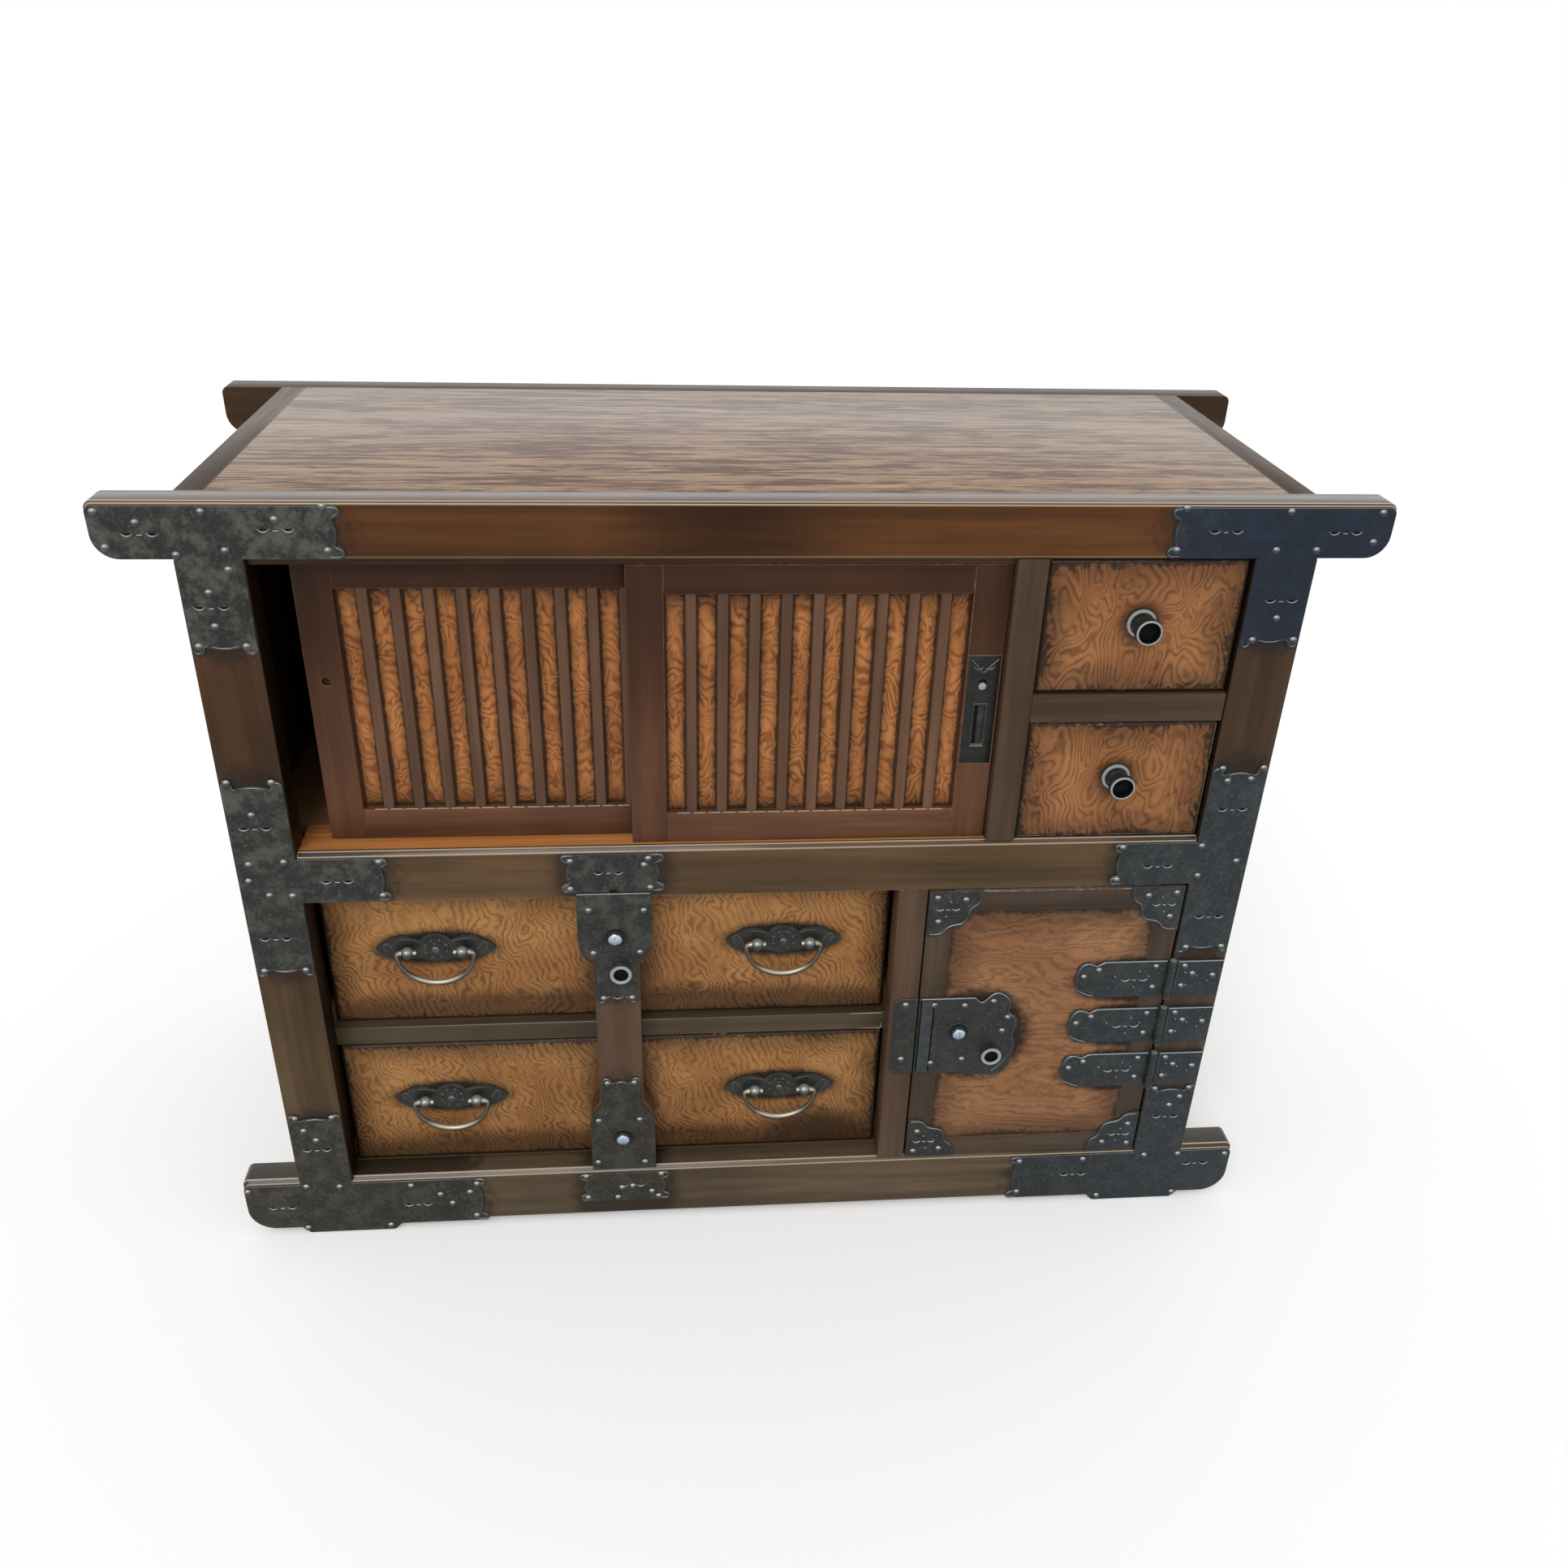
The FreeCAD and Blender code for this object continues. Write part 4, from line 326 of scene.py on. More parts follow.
@shared("Timber Grain", "Fibre Band Height", Vector=ZERO, Scale=1.0)
def timber_grain(place, scale):
    """Straight grain: fine fibres, slower bands and faint pores."""
    place = place * scale
    fine = noise(place * (14, 420, 420), 1.0, 3.0, 0.6)
    slow = noise(place * (2.4, 46, 46), 1.0, 3.0, 0.55)
    pores = noise(place * (60, 1300, 1300), 1.0, 1.0)
    return fade(fine, 0.32, 0.68), fade(slow, 0.3, 0.7), pores * 0.5 + fine


@shared("Burl Figure", "Band Line Cloud Height", Vector=ZERO, Run=(100, 0, 0), Stretch=ONE,
        Scale=20.0, Swirl=10.0, Jag=0.3)
def burl_figure(place, run, stretch, scale, swirl, jag):
    """Wavy figure lines: a steady run of lines, bent and closed up by a field of hills."""
    wide = place * stretch
    hills = noise(wide, scale, distortion=0.7)
    fine = noise(place, 110.0, 3.0, 0.65)
    phase = fine * jag + (hills * swirl + calc("DOT_PRODUCT", place, run))
    band = calc("PINGPONG", phase, 0.5) * 2.0
    strong = noise(place, 46.0, 3.0, 0.65)
    line = fade(band, 0.0, 0.62, 1.0, 0.0) * fade(strong, 0.36, 0.6, 0.12, 1.0)
    cloud = noise(wide, scale * 0.6, 3.0, 0.6)
    fibre = noise(place * (900, 900, 260), 1.0)
    return band, line, fade(cloud, 0.32, 0.68), fibre * 0.35 + band


@shared("Border Shade", "Mask", Vector=ZERO, Centre=ZERO, Half=ONE, Width=0.01, Ragged=0.5,
        Line=0.0)
def border_shade(place, centre, half, width, ragged, line):
    """1 near a front's outer edges, with brushed, ragged limits that follow the figure."""
    inside = parts(half - calc("ABSOLUTE", place - centre))
    streak = noise(place * (170, 1, 170), 1.0, 3.0, 0.65)
    uneven = (streak + noise(place, 26.0) - 1.0) * ragged * width - line * 0.28 * width
    near = calc("MINIMUM", inside[0], inside[2]) + uneven
    return larger(fade(near, 0.0, width, 1.0, 0.0), fade(near, 0.0, width * 3.0, 0.62, 0.0))


@shared("Halo", "Mask", Vector=ZERO, Centre=ZERO, Radii=ONE, Inner=0.6)
def halo(place, centre, radii, inner):
    """1 inside a soft ellipse: darker wood round a fitting, and the locking bar's painted
    shadow.
    """
    ragged = noise(place, 90.0, 3.0, 0.6) * 0.3
    reach = calc("LENGTH", (place - centre) / radii) + ragged - 0.15
    return fade(reach, inner, 1.0, 1.0, 0.0)


@shared("Forged Skin", "Dust Speck Height", Vector=ZERO, Scale=1.0)
def forged_skin(place, scale):
    """Uneven scale and small dents of hand-forged iron."""
    place = place * scale
    dust = noise(place, 52.0, 5.0, 0.7)
    speck = noise(place, 280.0, 3.0, 0.7)
    return fade(dust, 0.42, 0.66), fade(speck, 0.52, 0.72), speck * 0.25 + noise(place, 95.0)


@shared("Rubbed Edge", "Mask", Vector=ZERO, Amount=0.3)
def rubbed_edge(place, amount):
    """Broken patches where an edge is rubbed bare."""
    both = noise(place, 150.0, 3.0, 0.7) * 0.5 + noise(place, 16.0, 3.0, 0.6) * 0.5
    return calc("MULTIPLY", both - (amount * -0.3 + 0.68), 9.0, clamp=True)


@shared("Upward", "Mask", Normal=ZERO, Low=0.0, High=0.7)
def looking_up(normal, low, high):
    """1 on surfaces that look up; it sets the lacquer's coat and places painted highlights on
    upper faces.
    """
    return fade(parts(normal)[2], low, high)


@shared("Disc", "Mask", Vector=ZERO, Centre=ZERO, Radius=0.01)
def disc(place, centre, radius):
    """1 inside a round disc in a front face."""
    away = calc("LENGTH", (place - centre) * (1, 0, 1))
    return fade(away / radius, 0.92, 1.05, 1.0, 0.0)


# ---- materials -----------------------------------------------------------------------
def new_material(name):
    """A material with an empty tree, and the object coordinates in it."""
    made = bpy.data.materials.new(name)
    made.use_nodes = True
    made.node_tree.nodes.clear()
    return made, put("ShaderNodeTexCoord", {}, "Object", made.node_tree)


def shade(made, base, rough, height, bump=0.0002, strength=0.4, metal=0.0, level=0.5,
          coat=0.0, coat_rough=0.1):
    """Joins the finished colours and heights to a shader; returns the material."""
    normal = put("ShaderNodeBump", {"Height": height, "Distance": bump, "Strength": strength})
    shader = put("ShaderNodeBsdfPrincipled",
                 {"Base Color": base, "Roughness": rough, "Metallic": metal, "Normal": normal,
                  "Specular IOR Level": level, "Coat Weight": coat,
                  "Coat Roughness": coat_rough})
    put("ShaderNodeOutputMaterial", {0: shader})
    return made


def scaled(base, factor):
    """A colour made lighter or darker."""
    return [min(1.0, channel * factor) for channel in base]


def tinted(ground, factor, low, high):
    """Multiplies the ground by a tint between two tints."""
    return blend(1.0, ground, blend(factor, low, high), "MULTIPLY")


def multiplied(ground, factor, low, high):
    """Darkens and lightens the ground between two plain levels."""
    level = put("ShaderNodeMapRange", {"Value": factor, "To Min": low, "To Max": high})
    return blend(1.0, ground, level, "MULTIPLY")


def upward(place, low=0.05, high=0.7):
    """The mask of the surfaces that look up."""
    return looking_up(Value(place.socket.node.outputs["Normal"]), low, high)


def member_grain(place, scale):
    """Fibre, band and height of a member's own grain, and the member's number."""
    axis, member = (put("ShaderNodeAttribute", {}, "Fac", place.socket.id_data,
                        attribute_name=name) for name in ("grain", "member"))
    return *timber_grain(grain_direction(place, axis, member), scale), member


def halos(place, places, mask=None):
    """The darkest of several halos.

    Each is (x, z, half width, half height, inner share) with its strength last, if below 1.
    """
    for x, z, wide, high, inner, *strength in places:
        found = halo(place, at(x, 0, z), (wide * MM, 1.0, high * MM), inner)
        if strength:
            found = found * strength[0]
        mask = larger(mask, found) if mask else found
    return mask


def lacquer(name, base, arris=0.0, dark=(), depth=0.75, rough=0.36, contrast=1.0, polish=0.6,
            tone=None, stains=()):
    """Satin lacquer over straight-grained wood.

    An arris above 0 is rubbed bare and gets a painted highlight where it faces up. tone is a
    painted light and shade gradient: (low z, its tint, high z, its tint).
    """
    made, place = new_material(name)
    looks = timber()
    fibre, band, height, member = member_grain(place, 1.0)
    up = upward(place)
    ground = blend(band, scaled(base, 1 - 0.3 * contrast), scaled(base, 1 + 0.24 * contrast))
    ground = blend(fibre * (0.26 * contrast), ground, scaled(base, 0.5))
    ground = multiplied(ground, fade(noise(place, 5.5), 0.35, 0.65), 0.86, 1.14)
    ground = multiplied(ground, member, 1.0, 1.1)
    # Painted light and shade: the tint changes with height.
    if tone:
        low, low_tint, high, high_tint = tone
        rise = fade(parts(place)[2], low * MM, high * MM)
        ground = tinted(ground, rise, low_tint, high_tint)
    if stains:
        ground = multiplied(ground, halos(place, stains), 1.0, 0.42)
    if dark:
        ground = blend(halos(place, dark) * depth, ground, looks.dark_edge_and_shade)
    # Painted highlight: upward arrises are lightened, and the rubbed patches show most there.
    if arris:
        lit = up * 0.8 + 0.2
        ground = blend(lit * 0.5, ground, scaled(base, 2.6))
        ground = blend(rubbed_edge(place, arris) * lit, ground, looks.worn_and_glint)
    return shade(made, ground, fibre * 0.1 + (rough - 0.05), height, 0.00015, 0.25,
                 level=looks.sheen, coat=up * polish, coat_rough=0.12)


def glossy_top():
    """Polished dark lacquer with fine pale streaks along the boards."""
    made, place = new_material("polished_top")
    looks = timber()
    streaks = noise(place * (7, 150, 150), 1.0, 4.0, 0.62)
    cross = noise(place * (30, 430, 430), 1.0, 2.0, 0.6)
    patches = noise(place * (9, 46, 46), 1.0, 5.0, 0.7)
    both = cross * 0.4 + streaks * 0.6
    ground = blend(fade(patches * 0.8 + both, 0.82, 1.0), looks.top, looks.top_streak)
    ground = blend(fade(patches, 0.35, 0.7, 0.0, 0.5), ground, scaled(looks.top, 0.6))
    return shade(made, ground, 0.3, both, 0.0001, 0.12, level=0.2, coat=0.16,
                 coat_rough=0.08)


def burl(name, node, base, run, stretch, scale, swirl, jag, line, width, ragged, dark=(),
         raw=False, comb=1.0, bars=None, field=None, fall=0.0):
    """Clear lacquer over figured wood, with darkened borders and darker patches round the
    fittings.

    bars is the first bar's x, the pitch and the half width of bars whose painted shade lies on
    the panel.
    """
    made, place = new_material(name)
    looks = timber()
    low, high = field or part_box(node)
    middle = sum(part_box(node), Vector()).y / 2
    x, y, z = parts(place)
    band, lines, cloud, height = burl_figure(place, run, stretch, scale, swirl, jag)
    rise = fade(z, low.z, high.z) * fall
    ground = blend(band, scaled(base, 0.86), scaled(base, 1.12))
    ground = blend(lines * (rise * (-0.5 * line) + line), ground,
                   [channel * part for channel, part in zip(base, (0.3, 0.24, 0.3))])
    foot = [1 - fall * part for part in (0.22, 0.3, 0.34)]
    ground = tinted(ground, rise, foot, (1.08, 1.08, 1.04))
    ground = tinted(ground, cloud, (0.8, 0.74, 0.7), (1.14, 1.14, 1.12))
    speck = fade(noise(place, 420.0, 3.0, 0.7), 0.5, 0.72, 0.0, 0.22)
    ground = blend(speck, ground, scaled(base, 0.4))
    mask = border_shade(place, (low + high) / 2, (high - low) / 2, width * MM, ragged,
                        lines * comb) * 0.94
    # Painted shade: the panel is darkened beside each slat that stands in front of it.
    if bars:
        first, pitch, half = bars
        edge = noise(place, 90.0, 3.0, 0.65) * (6 * MM) - 3 * MM
        away = calc("PINGPONG", x - first, pitch / 2) + edge
        mask = larger(mask, larger(fade(away, half + 1.6 * MM, half + 4.6 * MM, 0.88, 0.0),
                                   fade(away, half, half + 10 * MM, 0.5, 0.0)))
    mask = halos(place, dark, mask) * calc("LESS_THAN", y, middle)
    ground = blend(mask, ground, looks.dark_edge_and_shade)
    if raw:
        edge = larger(calc("GREATER_THAN", x, high.x - 2.6 * MM),
                      calc("LESS_THAN", z, low.z + 2.6 * MM))
        broken = fade(noise(place, 60.0, 3.0, 0.7), 0.36, 0.5)
        ground = blend(edge * broken, ground, looks.worn_and_glint)
    return shade(made, ground, mask * 0.15 + 0.36, height, 0.00012, 0.22, level=looks.sheen)


def bare_wood(name, base, board=0.0, darkening=0.0):
    """Unfinished inner wood.

    board is the height of the level boards it is laid in, darkening how far painted shade
    reaches in from the front.
    """
    made, place = new_material(name)
    _, y, z = parts(place)
    fibre, band, height, _ = member_grain(place, 0.7)
    ground = blend(band, scaled(base, 0.72), base)
    ground = blend(fibre * 0.4, ground, scaled(base, 0.6))
    # Painted shade: the wood near the front, seen in the gaps under the fronts, is darkened.
    if darkening:
        ground = multiplied(ground, fade(y, FACE + 0.6 * darkening, FACE + darkening), 0.16, 1.0)
    if board:
        across = z / board
        tone = put("ShaderNodeTexWhiteNoise", {"W": calc("FLOOR", across)}, "Value",
                   noise_dimensions="1D")
        ground = multiplied(ground, tone, 0.8, 1.12)
        seam = fade(calc("PINGPONG", across, 0.5), 0.006, 0.016)
        ground = multiplied(ground, seam, 0.2, 1.0)
    return shade(made, ground, 0.5, height, level=0.3)


def iron_ground(place, dust, speck):
    """Blackened iron with paler, dusty patches, and painted cool light that turns it bluer
    towards the right-hand side.
    """
    looks = forge()
    x, _, z = parts(place)
    right = fade(x, 0.15, 0.5)
    # Painted cool light, strongest at the upper right.
    cool_light = right * fade(z, 0.5, 0.8)
    warm = fade(x, 0.3, -0.1) * fade(z, 0.4, 0.1)
    base = blend(warm, looks.iron, looks.olive)
    base = blend(cool_light, blend(right, base, looks.cool_lit_slate), looks.cold_light)
    pale = blend(cool_light, looks.dusty, scaled(looks.cold_light, 2.4))
    uneven = fade(z, 0.3, 0.7, 0.25, 0.6) * fade(x, -0.3, 0.2, 1.0, 0.45)
    return blend(speck * 0.4, blend(dust * uneven, base, pale), pale)


def blackened_iron():
    """Forged plates, uneven to the light."""
    made, place = new_material("blackened_iron")
    dust, speck, height = forged_skin(place, 1.0)
    return shade(made, iron_ground(place, dust, speck), 0.52, height, 0.0012, 0.8,
                 metal=0.1, level=0.24)


def toned_iron(name, base, pale, base_scale=1.0, pale_scale=1.0):
    """A small fitting of one tone, with paler patches."""
    made, place = new_material(name)
    dust, _, height = forged_skin(place, 1.6)
    ground = blend(dust * 0.3, scaled(base, base_scale), scaled(pale, pale_scale))
    return shade(made, ground, 0.42, height, 0.0006, 0.6, metal=0.1, level=0.3)


def rubbed_highlit_iron(name, low, high, hanger=None):
    """Rounded iron, pale where handling rubs it, with a painted highlight on its upper side.

    hanger is the height from which a bail hangs; its two arms get almost none of the painted
    highlight.
    """
    made, place = new_material(name)
    dust, speck, height = forged_skin(place, 1.0)
    # Painted highlight: the pale colour goes on the faces that look up.
    up = upward(place, low, high)
    pale = forge().rubbed
    if hanger:
        drop = calc("SUBTRACT", hanger, parts(place)[2])
        ends = fade(drop, 4 * MM, 11 * MM, 1.0, 0.0)
        grip = fade(drop, 25 * MM, 36 * MM)
        up = up * larger(larger(ends, grip), 0.12)
        pale = forge().grip
    ground = blend(up * 0.85 + 0.1, iron_ground(place, dust, speck), pale)
    return shade(made, ground, 0.34, height, 0.0003, 0.3, metal=0.5, level=0.35)


def hollow_iron():
    """Near-black iron for the stamped dents, the knobs' insides and the grooves, and painted
    shade in the finger slot, the keyhole and the gap over the locking bar.
    """
    made, place = new_material("hollow_iron")
    dust, _, height = forged_skin(place, 2.0)
    ground = blend(dust, forge().dark, scaled(forge().dark, 2))
    return shade(made, ground, 0.6, height, strength=0.3, level=0.1)


def dome_steel(name, x, z):
    """A bright dome in a dark ring."""
    made, place = new_material(name)
    looks = forge()
    _, _, height = forged_skin(place, 2.0)
    dome = disc(place, at(x, 0, z), 7.2 * MM)
    # Painted highlight and shade: the dome is bright on its upper side and darker below.
    lit = blend(upward(place, -0.6, 0.3), scaled(looks.bright, 0.45), looks.bright)
    return shade(made, blend(dome, scaled(looks.iron, 0.5), lit), 0.2, height, 0.0001, 0.15,
                 metal=dome, level=0.4)


def turned_steel(name, base, rough):
    """Turned steel with faint handling marks."""
    made, place = new_material(name)
    dust, speck, height = forged_skin(place, 2.0)
    return shade(made, blend(dust * 0.35, base, scaled(base, 0.6)), speck * 0.15 + rough,
                 height, 0.0001, 0.15, metal=0.95)


# ---- modelling -----------------------------------------------------------------------
def alone(obj):
    """Selects one object and makes it the active one."""
    if bpy.context.object and bpy.context.object.mode != "OBJECT":
        bpy.ops.object.mode_set(mode="OBJECT")
    bpy.ops.object.select_all(action="DESELECT")
    obj.select_set(True)
    bpy.context.view_layer.objects.active = obj
    return obj


def edit_all():
    """Opens the active piece for editing, with all of it selected."""
    bpy.ops.object.mode_set(mode="EDIT")
    bpy.ops.mesh.select_all(action="SELECT")


def covered(piece, materials):
    """Gives a piece its materials."""
    piece.data.materials.clear()
    for material in materials:
        piece.data.materials.append(material)


def settle(piece, name, body, materials=()):
    """Names a finished piece, leaves it at the origin and lets it ride on its body."""
    alone(piece)
    bpy.ops.object.transform_apply(location=True, rotation=True, scale=True)
    piece.name = name
    piece.data.name = name
    if materials:
        covered(piece, materials)
    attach(piece, body)
    return piece


def stand_in(piece, node, materials=()):
    """Settles a finished piece in the place of a frame node."""
    settle(piece, node + "_finish", NODES[node]["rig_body"], materials)
    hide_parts(node)
    return piece


def solids_of(mesh):
    """The faces of each closed solid; a frame mesh lists its solids one after another."""
    waiting = {}
    still_open = 0
    solids = [[]]
    for face in mesh.polygons:
        corners = [tuple(round(c * 1e6) for c in mesh.vertices[v].co) for v in face.vertices]
        for edge in zip(corners, corners[1:] + corners[:1]):
            back = edge[::-1]
            if waiting.get(back, 0):
                waiting[back] -= 1
                still_open -= 1
            else:
                waiting[edge] = waiting.get(edge, 0) + 1
                still_open += 1
        solids[-1].append(face.index)
        if not still_open:
            solids.append([])
            waiting = {}
    return [faces for faces in solids if faces]


def extent(mesh, faces):
    """Lowest and highest corner of some faces."""
    points = [mesh.vertices[v].co for f in faces for v in mesh.polygons[f].vertices]
    return (Vector(min(p[i] for p in points) for i in range(3)),
            Vector(max(p[i] for p in points) for i in range(3)))


def bevelled(piece, width, arris_slot=-1, segments=2):
    """Rounds the sharp edges of the active piece."""
    tool = piece.modifiers.new("arris", "BEVEL")
    tool.width = width
    tool.segments = segments
    tool.limit_method = "ANGLE"
    tool.angle_limit = math.radians(30)
    tool.material = arris_slot
    tool.use_clamp_overlap = True
    bpy.ops.object.modifier_apply(modifier=tool.name)


def join_corners(piece, faces):
    """Joins the loose corners of some faces; says whether all faces are still in order."""
    mesh = piece.data
    chosen = set(faces)
    corners = {v for f in faces for v in mesh.polygons[f].vertices}
    for face in mesh.polygons:
        face.select = face.index in chosen
    for vertex in mesh.vertices:
        vertex.select = vertex.index in corners
    for edge in mesh.edges:
        edge.select = all(v in corners for v in edge.vertices)
    count = len(mesh.polygons)
    bpy.ops.object.mode_set(mode="EDIT")
    bpy.ops.mesh.select_mode(type="VERT")
    bpy.ops.mesh.remove_doubles(threshold=0.00001)
    bpy.ops.object.mode_set(mode="OBJECT")
    return len(piece.data.polygons) == count


def dressed(node, materials, arris=0.0, kind=None):
    """Finishes a copy of a frame node: solids joined up, arrises rounded, grain laid."""
    alone(NODES[node])
    bpy.ops.object.duplicate()
    piece = bpy.context.object
    for key in [key for key in piece.keys() if key.startswith("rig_")]:
        del piece[key]
    piece.parent = None
    mesh = piece.data
    covered(piece, materials)
    bpy.ops.mesh.customdata_custom_splitnormals_clear()
    grain = mesh.attributes.new("grain", "FLOAT", "POINT")
    member = mesh.attributes.new("member", "FLOAT", "POINT")
    solids = solids_of(mesh)
    dice = random.Random(node)
    for faces in solids:
        low, high = extent(mesh, faces)
        size = high - low
        longest = max(range(3), key=lambda i: size[i])
        tone = dice.uniform(-1, 1)
        index = kind(low, high) if kind else 0
        for f in faces:
            mesh.polygons[f].material_index = index
            for v in mesh.polygons[f].vertices:
                grain.data[v].value = longest
                member.data[v].value = tone
    if len(solids) > MANY_SOLIDS:
        solids = [[f for faces in solids for f in faces]]
    for faces in solids:
        if not join_corners(piece, faces):
            break
    edit_all()
    bpy.ops.mesh.dissolve_limited(angle_limit=0.005)
    bpy.ops.object.mode_set(mode="OBJECT")
    if arris:
        bevelled(piece, arris, len(materials) - 1 or -1)
    bpy.ops.object.shade_smooth_by_angle(angle=math.radians(40))
    return stand_in(piece, node)


def turned(x, y, z, profile, segments=32):
    """A piece turned about a line along Y; profile is (radius, rise), back first."""
    radius, rise = profile[0]
    bpy.ops.object.select_all(action="DESELECT")
    bpy.ops.mesh.primitive_circle_add(vertices=segments, radius=radius * MM, fill_type="NGON",
                                      location=at(x, y - rise, z),
                                      rotation=(math.pi / 2, 0, 0))
    piece = bpy.context.object
    edit_all()
    for next_radius, next_rise in profile[1:]:
        bpy.ops.mesh.extrude_region_move(
            TRANSFORM_OT_translate={"value": (0, (rise - next_rise) * MM, 0)})
        factor = next_radius / radius
        bpy.ops.transform.resize(value=(factor, 1, factor),
                                 center_override=at(x, y - next_rise, z))
        radius, rise = next_radius, next_rise
    bpy.ops.mesh.select_all(action="SELECT")
    bpy.ops.mesh.normals_make_consistent(inside=False)
    bpy.ops.object.mode_set(mode="OBJECT")
    bpy.ops.object.transform_apply(location=True, rotation=True, scale=True)
    bpy.ops.object.shade_smooth_by_angle(angle=math.radians(38))
    return piece


def painted(piece, index, test):
    """Gives another material to faces by the x, y and z of their centres, as in at()."""
    for face in piece.data.polygons:
        centre = face.center
        if test(centre.x / MM, (centre.y - FACE) / MM, centre.z / MM):
            face.material_index = index
    return piece


def beads(lines, radius):
    """Raised lines as one mesh; each line is a list of (x, y, z, share of the radius)."""
    bpy.ops.object.select_all(action="DESELECT")
    bpy.ops.curve.primitive_nurbs_path_add()
    curve = bpy.context.object.data
    curve.splines.clear()
    for line in lines:
        spline = curve.splines.new("NURBS")
        spline.points.add(len(line) - 1)
        for point, (x, y, z, size) in zip(spline.points, line):
            point.co = (*at(x, y, z), 1.0)
            point.radius = size
        spline.order_u = min(3, len(line))
        spline.use_endpoint_u = True
        spline.resolution_u = 4
    curve.bevel_depth = radius
    curve.bevel_resolution = 1
    curve.use_fill_caps = True
    bpy.ops.object.convert(target="MESH")
    piece = bpy.context.object
    piece.location = (0, 0, 0)
    bpy.ops.object.shade_smooth()
    return piece


def batten(x0, x1, z0, z1, y0, y1):
    """A flat raised strip with a rounded face."""
    bpy.ops.object.select_all(action="DESELECT")
    bpy.ops.mesh.primitive_cube_add(
        size=1, location=at((x0 + x1) / 2, (y0 + y1) / 2, (z0 + z1) / 2))
    piece = bpy.context.object
    piece.scale = ((x1 - x0) * MM, (y1 - y0) * MM, (z1 - z0) * MM)
    bpy.ops.object.transform_apply(location=True, rotation=True, scale=True)
    bevelled(piece, (y1 - y0) * MM * 0.6, segments=3)
    bpy.ops.object.shade_smooth_by_angle(angle=math.radians(40))
    return piece


# ---- timber --------------------------------------------------------------------------
def pair(x, *rest):
    """The same halo on the left and on the right."""
    return [(-x, *rest), (x, *rest)]


def frame_materials():
    """Lacquers of the carcass, by name."""
    looks = timber()
    post = {"base": looks.post, "dark": [*pair(503, 849, 64, 112, 0.8),
                                         *pair(503, 506, 64, 145, 0.82),
                                         *pair(503, 85, 64, 122, 0.8)]}
    mid_halos = [*pair(503, 506, 142, 90, 0.8), (-153, 506, 74, 80, 0.7)]
    low_halos = [*pair(503, 47, 206, 90, 0.84), (-153, 47, 74, 80, 0.7)]
    return {
        # Painted light: the posts grow lighter and bluer towards their feet.
        "left post": lacquer("left_post_lacquer",
                             tone=(150, (1.75, 2.2, 2.4), 620, ONE), **post),
        "right post": lacquer("right_post_lacquer",
                              tone=(150, (1.3, 1.85, 3.0), 620, (0.95, 1.05, 1.3)), **post),
        # Painted shade: the posts' inner faces, seen in the gaps beside doors and drawers, are
        # near black.
        "gap": lacquer("shadowed_lacquer", scaled(looks.post, 0.18)),
        "mid": lacquer("middle_rail_lacquer", looks.rail, dark=mid_halos),
        "low": lacquer("bottom_rail_lacquer", looks.low_rail, dark=low_halos),
        "top": lacquer("top_rail_lacquer", looks.top_rail, dark=pair(603, 876, 250, 90, 0.84),
                       depth=0.6, rough=0.3, stains=[(-20, 876, 170, 90, 0.1)]),
        "divider": lacquer("divider_lacquer", looks.divider),
        "wide": lacquer("drawer_rail_lacquer", scaled(looks.low_rail, 0.92)),
        "side": lacquer("side_lacquer", looks.post, polish=0.12),
        # Arris lacquers: rubbed wear with a painted highlight, and on the rails a strong
        # painted highlight all along the edge.
        "arris": lacquer("rubbed_highlit_arris", looks.post, arris=looks.wear),
        "bright": lacquer("painted_highlight_arris", looks.rail, arris=2.0),
    }


